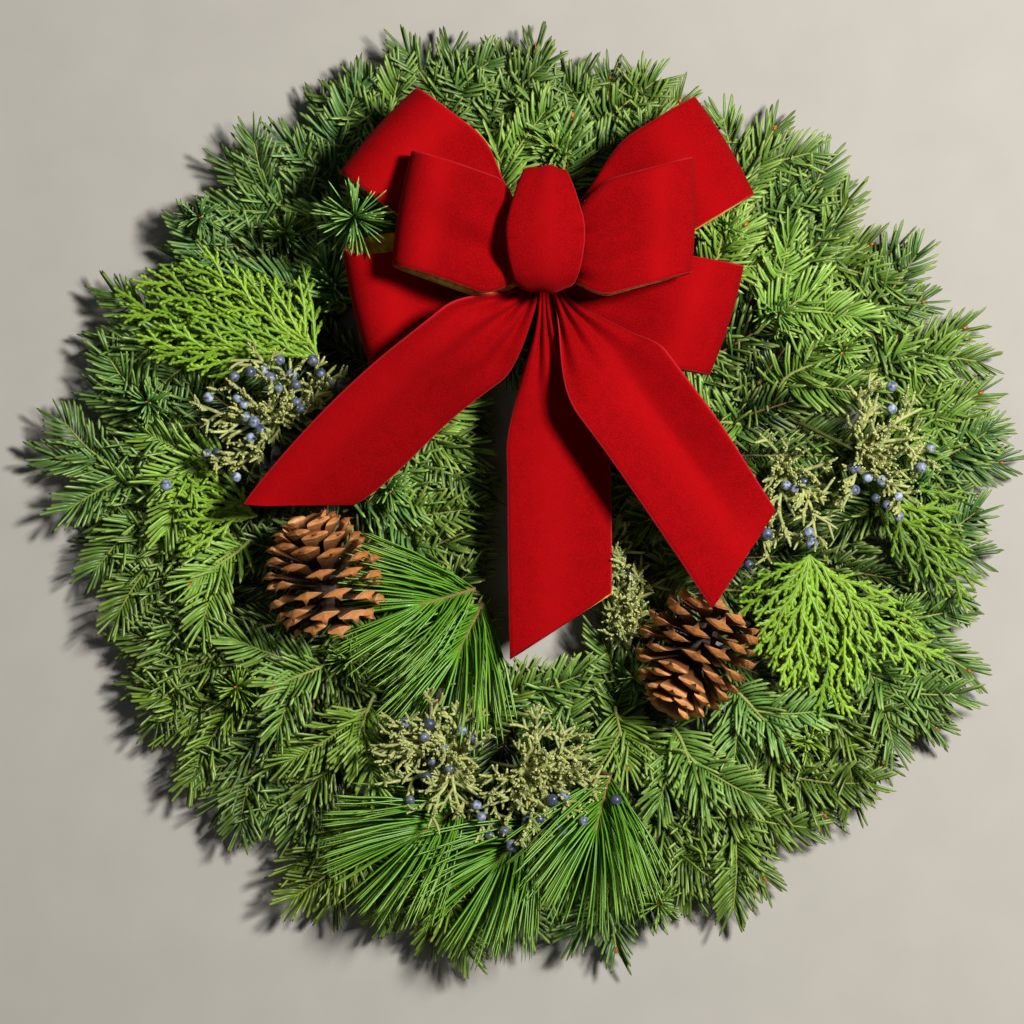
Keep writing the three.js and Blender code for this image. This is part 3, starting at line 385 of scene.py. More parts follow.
def linear(code: str) -> Colour:
    """An sRGB hex colour, such as "8a1b1b", as linear values.

    Args:
        code: The colour, two hex digits for each channel.

    Returns:
        The linear colour with full cover.
    """
    parts = [int(code[i : i + 2], 16) / 255 for i in (0, 2, 4)]
    turned = [p / 12.92 if p <= 0.04045 else ((p + 0.055) / 1.055) ** 2.4 for p in parts]
    return (turned[0], turned[1], turned[2], 1.0)


def new_group(name: str, inputs: dict[str, str]) -> Tree:
    """A geometry node tree with named inputs and one output, without nodes.

    Args:
        name: The tree's name.
        inputs: The kind of each input, by its name.

    Returns:
        The tree.
    """
    tree = bpy.data.node_groups.new(name, "GeometryNodeTree")
    for title, kind in inputs.items():
        tree.interface.new_socket(title, in_out="INPUT", socket_type=f"NodeSocket{kind}")
    tree.interface.new_socket("Geometry", in_out="OUTPUT", socket_type="NodeSocketGeometry")
    return tree


def place_object(name: str, mesh: Mesh) -> Piece:
    """Puts a mesh in the scene as an object at the origin.

    Args:
        name: The object's name.
        mesh: Its mesh.

    Returns:
        The object.
    """
    made = bpy.data.objects.new(name, mesh)
    bpy.context.collection.objects.link(made)
    return made


def make_object(
    name: str, points: list[Vector | Place], faces: list[tuple[int, ...]],
    values: dict[str, list[float]] | None = None, vectors: dict[str, list[Vector]] | None = None,
    edges: list[tuple[int, int]] | None = None, smooth: bool = True,
) -> Piece:
    """Makes an object from its places and faces.

    Args:
        name: The name of the object and of its mesh.
        points: Its places, in metres.
        faces: The places round each face.
        values: The numbers that its points carry, by name.
        vectors: The vectors that its points carry, by name.
        edges: Edges that belong to no face.
        smooth: Whether its faces are shaded smooth.

    Returns:
        The object, at the origin.
    """
    mesh = bpy.data.meshes.new(name)
    mesh.from_pydata([tuple(p) for p in points], edges or [], faces)
    for key, row in (values or {}).items():
        mesh.attributes.new(key, "FLOAT", "POINT").data.foreach_set("value", row)
    for key, rows in (vectors or {}).items():
        layer = mesh.attributes.new(key, "FLOAT_VECTOR", "POINT")
        layer.data.foreach_set("vector", [part for row in rows for part in row])
    mesh.polygons.foreach_set("use_smooth", [smooth] * len(mesh.polygons))
    return place_object(name, mesh)


def tube_faces(rings: int, corners: int, first: int = 0) -> list[tuple[int, ...]]:
    """The faces of a tube of rings of points, with its foot closed.

    Args:
        rings: How many rings it has.
        corners: How many points each ring has.
        first: The number of its first point.

    Returns:
        The faces, which point outwards.
    """
    faces: list[tuple[int, ...]] = []
    for ring in range(rings - 1):
        for k in range(corners):
            a, b = first + ring * corners + k, first + ring * corners + (k + 1) % corners
            faces.append((a, b, b + corners, a + corners))
    faces.append(tuple(first + k for k in range(corners - 1, -1, -1)))
    return faces


SPARE_VALUES = ("tangent", "forward", "up", "along", "leafy", "girth", "size")


def grow_mesh(
    source: Piece, tree: Tree, values: dict[str, object], name: str, materials: tuple[Material, ...]
) -> Piece:
    """Runs a node tree on an object, makes the result a plain mesh object and removes the source.

    Args:
        source: The object that the tree starts from.
        tree: The node tree.
        values: The values of its inputs, by name.
        name: The new object's name.
        materials: The materials that it keeps, in order, where its mesh has none.

    Returns:
        The new object, at the origin.
    """
    modifier = source.modifiers.new("grow", "NODES")
    modifier.node_group = tree
    for item in tree.interface.items_tree:
        if item.in_out == "INPUT" and item.name in values:
            modifier[item.identifier] = values[item.name]
    seen = bpy.context.evaluated_depsgraph_get()
    mesh = bpy.data.meshes.new_from_object(source.evaluated_get(seen))
    old = source.data
    bpy.data.objects.remove(source)
    bpy.data.meshes.remove(old)
    mesh.name = name
    for spare in SPARE_VALUES:
        if spare in mesh.attributes:
            mesh.attributes.remove(mesh.attributes[spare])
    if not mesh.materials:
        for material in materials:
            mesh.materials.append(material)
    return place_object(name, mesh)


# ---------------------------------------------------------------- greenery


class Twigs:
    """Collects twigs as polylines whose points carry what the needles need.

    Each point has along (0 at the bare end, 1 at the tip), size, shade, hue, girth in metres,
    a flag for where needles grow, and the direction that counts as up for the twig.
    """

    NAMES = ("along", "size", "shade", "hue", "girth", "leafy")

    def __init__(self, name: str, middle: Vector) -> None:
        """Starts an empty collection.

        Args:
            name: The name of the piece that is made of it.
            middle: The layout's origin in the shared frame, in metres.
        """
        self.name = name
        self.middle = middle
        self.places: list[Vector] = []
        self.edges: list[tuple[int, int]] = []
        self.values: dict[str, list[float]] = {key: [] for key in self.NAMES}
        self.ups: list[Vector] = []

    def add(
        self, path: list[Vector], girths: Span, bare: float, size: float, shade: float, hue: float,
        above: Vector | None = None,
    ) -> None:
        """Adds a twig.

        Args:
            path: Its places in the layout, in millimetres.
            girths: Its diameter at the start and at the tip, in millimetres.
            bare: The share of its length that has no needles.
            size: The size of its needles.
            shade: How light it is, from 0 to 1.
            hue: How blue its green is, from 0 to 1.
            above: The direction that its needles treat as up.
        """
        first = len(self.places)
        last = len(path) - 1
        for k, place in enumerate(path):
            share = k / last
            grown = min(max((share - bare) / max(1 - bare, 1e-6), 0.0), 1.0)
            girth = (girths[0] + (girths[1] - girths[0]) * share) * MM / 2
            self.places.append(self.middle + place * MM)
            for key, value in zip(self.NAMES, (grown, size, shade, hue, girth, float(share >= bare))):
                self.values[key].append(value)
            self.ups.append(above or up(1))
            if k:
                self.edges.append((first + k - 1, first + k))

    def add_foot(
        self, bearing: float, top: Vector, girths: Span, rise: float = 8.0, steps: int = 7, hue: float = 0.5
    ) -> None:
        """Adds the bare stem of an accent, from among the fir butts at the ring.

        Args:
            bearing: Where on the ring it starts.
            top: Where it ends.
            girths: Its diameter at the start and at the end, in millimetres.
            rise: How far it arches up, in millimetres.
            steps: How many places it has.
            hue: How blue its green is, from 0 to 1.
        """
        self.add(arch(on_ring(bearing, FOOT_HEIGHT), top, rise, steps), girths, NO_NEEDLES, 1.0, STEM_SHADE, hue)

    def to_object(self) -> Piece:
        """Makes the polylines an object whose points carry the values."""
        return make_object(self.name, self.places, [], self.values, {"up": self.ups}, self.edges)


@dataclass(frozen=True)
class NeedleShape:
    """One needle or scale leaf, one unit long, with so many sides.

    Each ring is a share of its length and the half width there, in parts of the width. Flat is
    its thickness over its width.
    """

    name: str
    rings: tuple[Span, ...]
    sides: int = 4
    flat: float = 0.45

    def build(self) -> Piece:
        """Makes the needle along +Z, closed at both ends and flat in Y."""
        square = self.sides == 4
        points: list[Place] = []
        for share, half in self.rings:
            for k in range(self.sides):
                angle = tau * (k + 0.5 * square) / self.sides
                stretch = sqrt(2) if square else 1.0
                x = half * stretch * cos(angle) * 0.5
                y = half * stretch * sin(angle) * 0.5 * self.flat
                points.append((x, y, share))
        faces = tube_faces(len(self.rings), self.sides)
        tip = len(points)
        last = tip - self.sides
        points.append((0.0, 0.0, 1.0))
        faces += [(last + k, last + (k + 1) % self.sides, tip) for k in range(self.sides)]
        return make_object(self.name, points, faces, {"reach": [z for _, _, z in points]})


@dataclass(frozen=True)
class Growth:
    """How the needles of one kind of greenery stand on their twigs.

    Lengths are in millimetres and angles in degrees. The lean is the angle between needle and
    twig, at the twig's foot and at its tip. The roll is the height above the twig's own plane.
    """

    spacing: float
    length: float
    width: float
    base_lean: float
    tip_lean: float
    low_roll: float
    high_roll: float
    roll_bias: float
    bend: float
    seed: int

    def inputs(self) -> dict[str, float]:
        """The values for the tree's inputs, in metres and radians."""
        return {
            "Spacing": self.spacing * MM,
            "Length": self.length * MM,
            "Width": self.width * MM,
            "Base Lean": radians(self.base_lean),
            "Tip Lean": radians(self.tip_lean),
            "Low Roll": radians(self.low_roll),
            "High Roll": radians(self.high_roll),
            "Roll Bias": self.roll_bias,
            "Bend": self.bend * MM,
        }


class GreenTree:
    """The node tree that dresses twigs with needles, shared by all the greenery.

    Lengths are in millimetres. Needles lean closer to the twig towards its tip, where they
    are shorter too, and stand left and right of it in turn.
    """

    FLOATS = ("Spacing", "Length", "Width", "Base Lean", "Tip Lean", "Low Roll", "High Roll", "Roll Bias", "Bend")
    CARRIED = {
        "along": "FLOAT", "size": "FLOAT", "girth": "FLOAT", "leafy": "FLOAT", "reach": "FLOAT",
        "tangent": "FLOAT_VECTOR", "up": "FLOAT_VECTOR", "forward": "FLOAT_VECTOR",
    }
    LATE_POWER = 3.2
    LEAN_SPREAD = 0.1
    TIP_SHORTER = 0.28
    LENGTH_SPREAD = (0.84, 1.1)
    WIDTH_SPREAD = (0.88, 1.12)
    STEM_SIDES = 5
    FLOOR_GAP = 0.8
    FAR_DOWN = -9.0
    # Heights, in millimetres, between which needles go from the deepest painted shade to none
    DEEP = 9.0
    OPEN_TOP = 33.0

    def __init__(self) -> None:
        """Builds the tree once."""
        inputs = {"Geometry": "Geometry", "Needle": "Object", **dict.fromkeys(self.FLOATS, "Float"), "Seed": "Int"}
        materials = {"Needle Material": "Material", "Stem Material": "Material"}
        self.tree = new_group("dress_twigs", inputs | materials)
        self.add = partial(add_node, self.tree)
        self.read = {name: self.add(NAMED, data_type=kind, Name=name) for name, kind in self.CARRIED.items()}
        self._wire()

    def _random(self, low: float, high: float, seed: object, salt: int) -> Socket:
        """A random number for each point, drawn from the seed."""
        salted = self.add(PLUS, seed, float(salt))
        return self.add("FunctionNodeRandomValue", data_type="FLOAT", Min=low, Max=high, Seed=salted)

    def _wire(self) -> None:
        """Links the whole tree."""
        add = self.add
        start = add("NodeGroupInput").node.outputs
        curve = add("GeometryNodeMeshToCurve", Mesh=start["Geometry"])
        spaced = add("GeometryNodeResampleCurve", mode="LENGTH", Curve=curve, Length=start["Spacing"])
        tangent = add("GeometryNodeInputTangent")
        kept = add(STORE, data_type="FLOAT_VECTOR", Geometry=spaced, Name="tangent", Value=tangent)
        points = add("GeometryNodeCurveToPoints", mode="EVALUATED", Curve=kept)
        joined = add("GeometryNodeJoinGeometry", self._stems(curve, start["Stem Material"]))
        self.tree.links.new(self._needles(points, start), joined.node.inputs[0])
        add("NodeGroupOutput", add("GeometryNodeSetShadeSmooth", Geometry=self._age(joined)))

    def _stems(self, curve: Socket, material: Socket) -> Socket:
        """The twigs themselves, five-sided and closed at their ends.

        Args:
            curve: The curves of the twigs.
            material: What they are made of.

        Returns:
            The socket with their mesh.
        """
        add, girth = self.add, self.read["girth"]
        thick = add("GeometryNodeSetCurveRadius", Curve=curve, Radius=girth)
        ring = add("GeometryNodeCurvePrimitiveCircle", mode="RADIUS", Resolution=self.STEM_SIDES, Radius=1.0)
        tube = add("GeometryNodeCurveToMesh", Curve=thick, Profile_Curve=ring, Scale=girth, Fill_Caps=True)
        return add("GeometryNodeSetMaterial", Geometry=tube, Material=material)

    def _needles(self, points: Socket, start: object) -> Socket:
        """Stands a needle on each point and returns them as one mesh.

        Args:
            points: Where the needles stand.
            start: The sockets of the tree's inputs, by name.

        Returns:
            The needles, bent and with their material.
        """
        add, read, seed = self.add, self.read, start["Seed"]
        late = add(POWER, read["along"], self.LATE_POWER)
        aim, flat = self._aim(start, late)
        turn = add(AXES, Primary_Axis=aim, Secondary_Axis=flat)
        shorter = add(TIMES, late, self.TIP_SHORTER)
        taper = add(MINUS, 1.0, shorter)
        sized = add(TIMES, read["size"], taper)
        grown = add(TIMES, sized, self._random(*self.LENGTH_SPREAD, seed, 3))
        length = add(TIMES, grown, start["Length"])
        width = add(TIMES, start["Width"], self._random(*self.WIDTH_SPREAD, seed, 4))
        shape = add(SHAPE, Object=start["Needle"])
        standing = add(
            "GeometryNodeInstanceOnPoints",
            Points=points,
            Selection=add(ABOVE, read["leafy"], 0.5),
            Instance=shape.node.outputs["Geometry"],
            Rotation=turn,
            Scale=add("ShaderNodeCombineXYZ", width, width, length),
        )
        tint = self._random(0.0, 1.0, seed, 5)
        tinted = add(STORE, data_type="FLOAT", domain="INSTANCE", Geometry=standing, Name="tint", Value=tint)
        bent = self._bend(tinted, start["Bend"])
        return add("GeometryNodeSetMaterial", Geometry=bent, Material=start["Needle Material"])

    def _aim(self, start: object, late: Socket) -> tuple[Socket, Socket]:
        """Works out which way each needle points.

        Args:
            start: The sockets of the tree's inputs, by name.
            late: How near the twig's tip a needle stands.

        Returns:
            The needle's direction, and the direction that its flat side faces.
        """
        add, seed = self.add, start["Seed"]
        tangent = add(UNIT, self.read["tangent"])
        square = add(CROSS, tangent, self.read["up"])
        side = add(UNIT, square)
        rise = add(CROSS, side, tangent)
        parity = add(MODULO, add("GeometryNodeInputIndex"), 2.0)
        sign = add(MINUS, add(TIMES, parity, 2.0), 1.0)
        bias = add(POWER, self._random(0.0, 1.0, seed, 1), start["Roll Bias"])
        span = add(MINUS, start["High Roll"], start["Low Roll"])
        roll = add(PLUS, start["Low Roll"], add(TIMES, bias, span))
        across = add(TIMES, sign, add(COSINE, roll))
        out = self._sum(side, across, rise, add(SINE, roll))
        closing = add(MINUS, start["Base Lean"], start["Tip Lean"])
        drop = add(TIMES, late, closing)
        even = add(MINUS, start["Base Lean"], drop)
        lean = add(PLUS, even, self._random(-self.LEAN_SPREAD, self.LEAN_SPREAD, seed, 2))
        aim = self._sum(tangent, add(COSINE, lean), out, add(SINE, lean))
        return aim, add(CROSS, out, tangent)

    def _sum(self, first: object, share: object, second: object, part: object) -> Socket:
        """Two directions added up, each taken as far as its share says.

        Args:
            first: The first direction.
            share: How much of it.
            second: The second direction.
            part: How much of that.

        Returns:
            The socket with the sum.
        """
        scaled = [
            self.add(SCALED, vector, Scale=far)
            for vector, far in ((first, share), (second, part))
        ]
        return self.add(SUMMED, *scaled)

    def _bend(self, standing: Socket, bend: Socket) -> Socket:
        """Makes the needles real and curves their tips forward along the twig.

        Args:
            standing: The needles, straight.
            bend: How far they curve.

        Returns:
            The socket with the curved needles.
        """
        add, reach = self.add, self.read["reach"]
        stored = add(
            STORE, data_type="FLOAT_VECTOR", domain="INSTANCE",
            Geometry=standing, Name="forward", Value=self.read["tangent"],
        )
        real = add("GeometryNodeRealizeInstances", Geometry=stored)
        push = add(TIMES, add(TIMES, reach, reach), bend)
        offset = add(SCALED, self.read["forward"], Scale=push)
        curved = add("GeometryNodeSetPosition", Geometry=real, Offset=offset)
        # A needle that meets what the wreath lies on is laid along it
        floor = add("ShaderNodeCombineXYZ", self.FAR_DOWN, self.FAR_DOWN, self.FLOOR_GAP * MM)
        kept = add(HIGHEST, add("GeometryNodeInputPosition"), floor)
        return add("GeometryNodeSetPosition", Geometry=curved, Position=kept)

    def _age(self, grown: Socket) -> Socket:
        """Stores how high each point stands, 0 deep in the wreath and 1 near its top, for painted shade: greens lower
        down are painted darker.

        Args:
            grown: The twigs with their needles.

        Returns:
            The socket with the same mesh.
        """
        add = self.add
        height = add("ShaderNodeSeparateXYZ", add("GeometryNodeInputPosition")).node.outputs["Z"]
        depth = add(RANGE, height, self.DEEP * MM, self.OPEN_TOP * MM)
        return add(STORE, data_type="FLOAT", domain="POINT", Geometry=grown, Name="depth", Value=depth)

    def dress(self, twigs: Twigs, growth: Growth, needle: Piece, materials: tuple[Material, Material]) -> Piece:
        """Dresses the twigs and returns one plain mesh object.

        Args:
            twigs: The twigs to dress.
            growth: How their needles stand.
            needle: The needle's object.
            materials: The materials of the needles and of the twigs.

        Returns:
            The dressed object, at the origin.
        """
        values = growth.inputs() | {
            "Needle": needle,
            "Seed": growth.seed + sum(map(ord, twigs.name)),
            "Needle Material": materials[0],
            "Stem Material": materials[1],
        }
        return grow_mesh(twigs.to_object(), self.tree, values, twigs.name, materials)


# ---------------------------------------------------------------- finishes


class Paint:
    """A material under way: its node tree and what several finishes do alike."""

    def __init__(self, name: str, *carried: str) -> None:
        """Starts an empty material.

        Args:
            name: The material's name.
            carried: The numbers of the mesh that the finish reads, by name.
        """
        self.material = bpy.data.materials.new(name)
        self.material.use_nodes = True
        self.material.node_tree.nodes.clear()
        self.add = partial(add_node, self.material.node_tree)
        self.place = self.add("ShaderNodeTexCoord").node.outputs["Object"]
        self.carried = [self.add("ShaderNodeAttribute", attribute_name=key).node.outputs["Fac"] for key in carried]

    def spots(self, size: float, low: float, high: float, dark: float, light: float, detail: float = 3.0) -> object:
        """Uneven spots, moved from one range to another and kept inside it.

        Args:
            size: How far the spots are across, in millimetres.
            low: The noise that becomes the first value.
            high: The noise that becomes the second value.
            dark: The first value.
            light: The second value.
            detail: How ragged the spots are.

        Returns:
            The socket with the spots.
        """
        noise = self.add(NOISE, Vector=self.place, Scale=1.0 / (size * MM), Detail=detail)
        return self.add(RANGE, noise, low, high, dark, light)

    def blend(self, value: object, low: float, high: float, share: float, under: object, over: object) -> object:
        """Lays a colour over another where a value rises.

        Args:
            value: The socket with the value.
            low: The value up to which the first colour is bare.
            high: The value from which the second covers it.
            share: How far the second covers it, from 0 to 1.
            under: The first colour.
            over: The second colour.

        Returns:
            The socket with the colour.
        """
        return self.add(MIX, Factor=self.add(RANGE, value, low, high, 0.0, share), A=under, B=over)

    def finish(self, colour: object, relief: object = None, depth: float = 0.0, **look: object) -> Material:
        """Makes the surface and returns the material.

        Args:
            colour: The surface's colour.
            relief: The socket with the heights of its relief, if it has one.
            depth: How deep the relief is, in millimetres.
            look: Further inputs of the surface, by name.

        Returns:
            The material.
        """
        if relief is not None:
            look["Normal"] = self.add("ShaderNodeBump", Height=relief, Strength=RELIEF_STRENGTH, Distance=depth * MM)
        surface = self.add("ShaderNodeBsdfPrincipled", Base_Color=colour, **look)
        self.add("ShaderNodeOutputMaterial", Surface=surface)
        return self.material


@dataclass(frozen=True)
class LeafFinish:
    """Living evergreen leaf: a waxy skin over green, paler towards its tip.

    The wax gives a soft broad shine, and a faint bloom that turns some twigs blue. Each needle
    is a little lighter or darker than the next, and needles low in the wreath get painted shade.
    """

    name: str
    dark: str
    fresh: str
    blue: str
    tip: str
    roughness: float = 0.5
    tip_share: float = 0.35
    deep_painted_shade: float = 0.2
    uneven: float = 0.34

    def build(self) -> Material:
        """Makes the material from the values that each needle carries."""
        paint = Paint(self.name, "hue", "shade", "tint", "reach", "depth")
        add, (hue, shade, tint, reach, depth) = paint.add, paint.carried
        green = add(MIX, Factor=hue, A=self.fresh, B=self.blue)
        uneven = add(TIMES_PLUS, tint, self.uneven, -self.uneven / 2)
        lit = add(PLUS, shade, uneven, use_clamp=True)
        # Painted shade: needles are darker the lower they lie in the wreath
        depth_shade = add(RANGE, depth, 0.0, 1.0, self.deep_painted_shade, 1.0)
        lit = add(TIMES, lit, depth_shade)
        toned = add(MIX, Factor=lit, A=self.dark, B=green)
        # Needle ends are newer growth and paler over about the last third, less so under the painted shade low down
        far = add(TIMES, add(RANGE, reach, 0.55, 1.0, 0.0, self.tip_share), depth_shade)
        ended = add(MIX, Factor=far, A=toned, B=self.tip)
        # Patches of bloom about 5 mm across
        final = paint.add(TINT, A=ended, B=paint.spots(5.0, 0.35, 0.7, 0.86, 1.1))
        # Stomata rows are 0.1 mm apart; drawn at 0.7 mm so that the skin isn't plastic
        rows = add(NOISE, Vector=paint.place, Scale=1.0 / (0.7 * MM), Detail=2.0)
        return paint.finish(final, rows, 0.08, Roughness=self.roughness, IOR=1.45)


@dataclass(frozen=True)
class BarkFinish:
    """Young bark: thin, matt and slightly cracked, green-yellow on twigs and brown on stems."""

    name: str
    young: str
    old: str

    def build(self) -> Material:
        """Makes the material; shade turns it from old to young bark."""
        paint = Paint(self.name, "shade")
        # Bark flakes about 1.5 mm across
        flakes = paint.add(NOISE, Vector=paint.place, Scale=1.0 / (1.5 * MM), Detail=4.0)
        ground = paint.blend(paint.carried[0], 0.1, 0.6, 1.0, self.old, self.young)
        final = paint.add(TINT, A=ground, B=paint.add(RANGE, flakes, 0.3, 0.7, 0.7, 1.15))
        return paint.finish(final, flakes, 0.25, Roughness=0.78)


@dataclass(frozen=True)
class VelvetFinish:
    """Cut velvet: a dense upright pile that is dark face-on and glows where it turns away."""

    name: str = "red_cut_velvet"
    pile: str = "850004"
    hollow: str = "7a0003"
    rubbed: str = "9c040a"
    # The red of the painted highlight
    highlight_red: str = "a8060c"
    shorn: str = "c4303a"
    glow: str = "e0303a"

    def build(self) -> Material:
        """Makes the velvet; its UV runs across (u) and along (v) the ribbon."""
        paint = Paint(self.name, "pressed")
        add = paint.add
        # Pile strokes: the nap lies in patches 9 mm across, and its tufts are 0.3 mm, drawn at 0.8
        patches = paint.spots(9.0, 0.35, 0.68, 0.0, 1.0)
        tufts = add(NOISE, Vector=paint.place, Scale=1.0 / (0.8 * MM), Detail=2.0)
        nap = add(MIX, Factor=patches, A=self.hollow, B=self.pile)
        grain = paint.blend(tufts, 0.42, 0.64, 0.72, nap, self.rubbed)
        across = add("ShaderNodeSeparateXYZ", Vector=add("ShaderNodeUVMap", uv_map="ribbon")).node.outputs["X"]
        centred = add(ABSOLUTE, add(MINUS, across, 0.5))
        # The edge is woven over a thin wire, in a band 1.3 mm wide where the pile is shorn
        edged = paint.blend(centred, 0.484, 0.492, 0.4, grain, self.shorn)
        # Painted highlight: a lighter red where the ribbon carries a highlight band, at the loops' bends, the knot's
        # crown and the tails' middles
        final = paint.blend(paint.carried[0], 0.0, 1.0, 0.6, edged, self.highlight_red)
        return paint.finish(
            final, tufts, 0.22, Roughness=0.92, Specular_IOR_Level=0.06,
            Sheen_Weight=0.22, Sheen_Roughness=0.4, Sheen_Tint=self.glow,
        )


@dataclass(frozen=True)
class LameFinish:
    """Metallic gold weave on the ribbon's back: flat metal thread, bright where it catches light."""

    name: str = "gold_lame_backing"
    bright: str = "ffe070"
    deep: str = "dba428"

    def build(self) -> Material:
        """Makes the backing; threads are 0.25 mm apart, drawn at 1 mm to show."""
        paint = Paint(self.name)
        add = paint.add
        uv = add("ShaderNodeUVMap", uv_map="ribbon")
        sized = add("ShaderNodeMapping", Vector=uv, Scale=(RIBBON_WIDTH * MM, 1.0, 1.0))
        threads = [
            add("ShaderNodeTexWave", bands_direction=way, Vector=sized, Scale=1.0 / (1.0 * MM) / WAVES_PER_UNIT)
            for way in ("X", "Y")
        ]
        weave = add(TIMES, *(thread.node.outputs["Fac"] for thread in threads))
        patches = paint.spots(6.0, 0.3, 0.7, 0.0, 1.0)
        ground = add(MIX, Factor=patches, A=self.deep, B=self.bright)
        final = paint.add(TINT, A=ground, B=add(RANGE, weave, 0.0, 0.6, 0.75, 1.0))
        return paint.finish(final, weave, 0.12, Metallic=0.4, Roughness=0.42)


@dataclass(frozen=True)
class WoodyFinish:
    """Pine cone scale: dry weathered wood, tan-orange at its thick end and dark brown inside."""

    name: str = "dry_cone_scale"
    inside: str = "2c170b"
    body: str = "70421f"
    end: str = "b9763b"
    rim: str = "e3ad74"

    def build(self) -> Material:
        """Makes the wood; reach runs from the scale's foot to its end, and rim marks its edge."""
        paint = Paint(self.name, "reach", "rim")
        reach, edge = paint.carried
        low = paint.blend(reach, 0.35, 0.72, 1.0, self.inside, self.body)
        high = paint.blend(reach, 0.72, 0.9, 1.0, low, self.end)
        edged = paint.blend(edge, 0.4, 1.0, 0.8, high, self.rim)
        # Wood fibres about 0.8 mm apart and stains 4 mm across
        fibres = paint.add(NOISE, Vector=paint.place, Scale=1.0 / (0.8 * MM), Detail=4.0)
        final = paint.add(TINT, A=edged, B=paint.spots(4.0, 0.3, 0.7, 0.72, 1.15))
        return paint.finish(final, fibres, 0.3, Roughness=0.66)


@dataclass(frozen=True)
class BerryFinish:
    """Juniper berry: a smooth dark blue skin under a dusty pale bloom that rubs off in spots."""

    name: str = "bloomed_berry_skin"
    skin: str = "2b3046"
    bloom: str = "b4c2dc"

    def build(self) -> Material:
        """Makes the skin; shade says how much bloom a berry has kept."""
        paint = Paint(self.name, "shade")
        add = paint.add
        # Rubbed spots about 2.5 mm across
        rubbed = paint.spots(2.5, 0.32, 0.62, 0.0, 1.0, 4.0)
        kept = add(TIMES, rubbed, paint.carried[0])
        final = add(MIX, Factor=kept, A=self.skin, B=self.bloom)
        return paint.finish(final, rubbed, 0.06, Roughness=add(RANGE, kept, 0.0, 1.0, 0.3, 0.62))


@dataclass(frozen=True)
class BudFinish:
    """Resting fir bud: overlapping brown-orange scales under dry resin, with a low gloss."""

    name: str = "resinous_bud"
    low: str = "6b3414"
    high: str = "c47a35"

    def build(self) -> Material:
        """Makes the bud, lighter at its tip."""
        paint = Paint(self.name, "reach")
        # Bud scales about 1.2 mm across
        scales = paint.add(NOISE, Vector=paint.place, Scale=1.0 / (1.2 * MM), Detail=3.0)
        reach = paint.carried[0]
        ground = paint.add(MIX, Factor=reach, A=self.low, B=self.high)
        final = paint.add(TINT, A=ground, B=paint.add(RANGE, scales, 0.3, 0.7, 0.7, 1.2))
        return paint.finish(final, scales, 0.2, Roughness=0.4)


@dataclass(frozen=True)
class WireFinish:
    """Wire as it left the works: drawn steel, bare or under baked green enamel."""

    name: str
    colour: str
    metallic: float
    roughness: float

    def build(self) -> Material:
        """Makes the wire with fine drawing marks and a few dull spots."""
        paint = Paint(self.name)
        # Dull spots 6 mm across; drawing marks are 0.05 mm, drawn at 0.6 mm
        final = paint.add(TINT, A=self.colour, B=paint.spots(6.0, 0.35, 0.7, 0.75, 1.15))
        marks = paint.add(NOISE, Vector=paint.place, Scale=1.0 / (0.6 * MM), Detail=2.0)
        rough = paint.add(RANGE, marks, 0.2, 0.8, self.roughness - 0.08, self.roughness + 0.1)
        return paint.finish(final, marks, 0.05, Metallic=self.metallic, Roughness=rough)


@dataclass(frozen=True)
class FloorFinish:
    """Painted studio floor: pale and matt, so that the wreath's shadow lies softly on it."""

    name: str = "pale_floor"
    colour: str = "a8a59e"

    def build(self) -> Material:
        """Makes the floor with a very slight mottle, 40 mm across."""
        paint = Paint(self.name)
        mottled = paint.add(TINT, A=self.colour, B=paint.spots(40.0, 0.3, 0.7, 0.97, 1.02))
        return paint.finish(mottled, Roughness=0.9)


# ---------------------------------------------------------------- pieces


@dataclass
class Greens:
    """What every kind of greenery shares: the layout's origin in metres, the tree and the bark."""

    middle: Vector
    tree: GreenTree
    twig_bark: Material
    stem_bark: Material
    faces: int = 0

    def finish(self, piece: Piece, slot: str, *nodes: str) -> None:
        """Ties a finished piece to the body, hides the CAD nodes that it stands for and counts its triangles.

        Args:
            piece: The piece.
            slot: Its material slot; not used.
            nodes: The nodes that it stands for.
        """
        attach(piece, "root")
        if nodes:
            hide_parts(*nodes)
        count = sum(len(p.vertices) - 2 for p in piece.data.polygons)
        self.faces += count
        LOG.info("%s: %d triangles", piece.name, count)


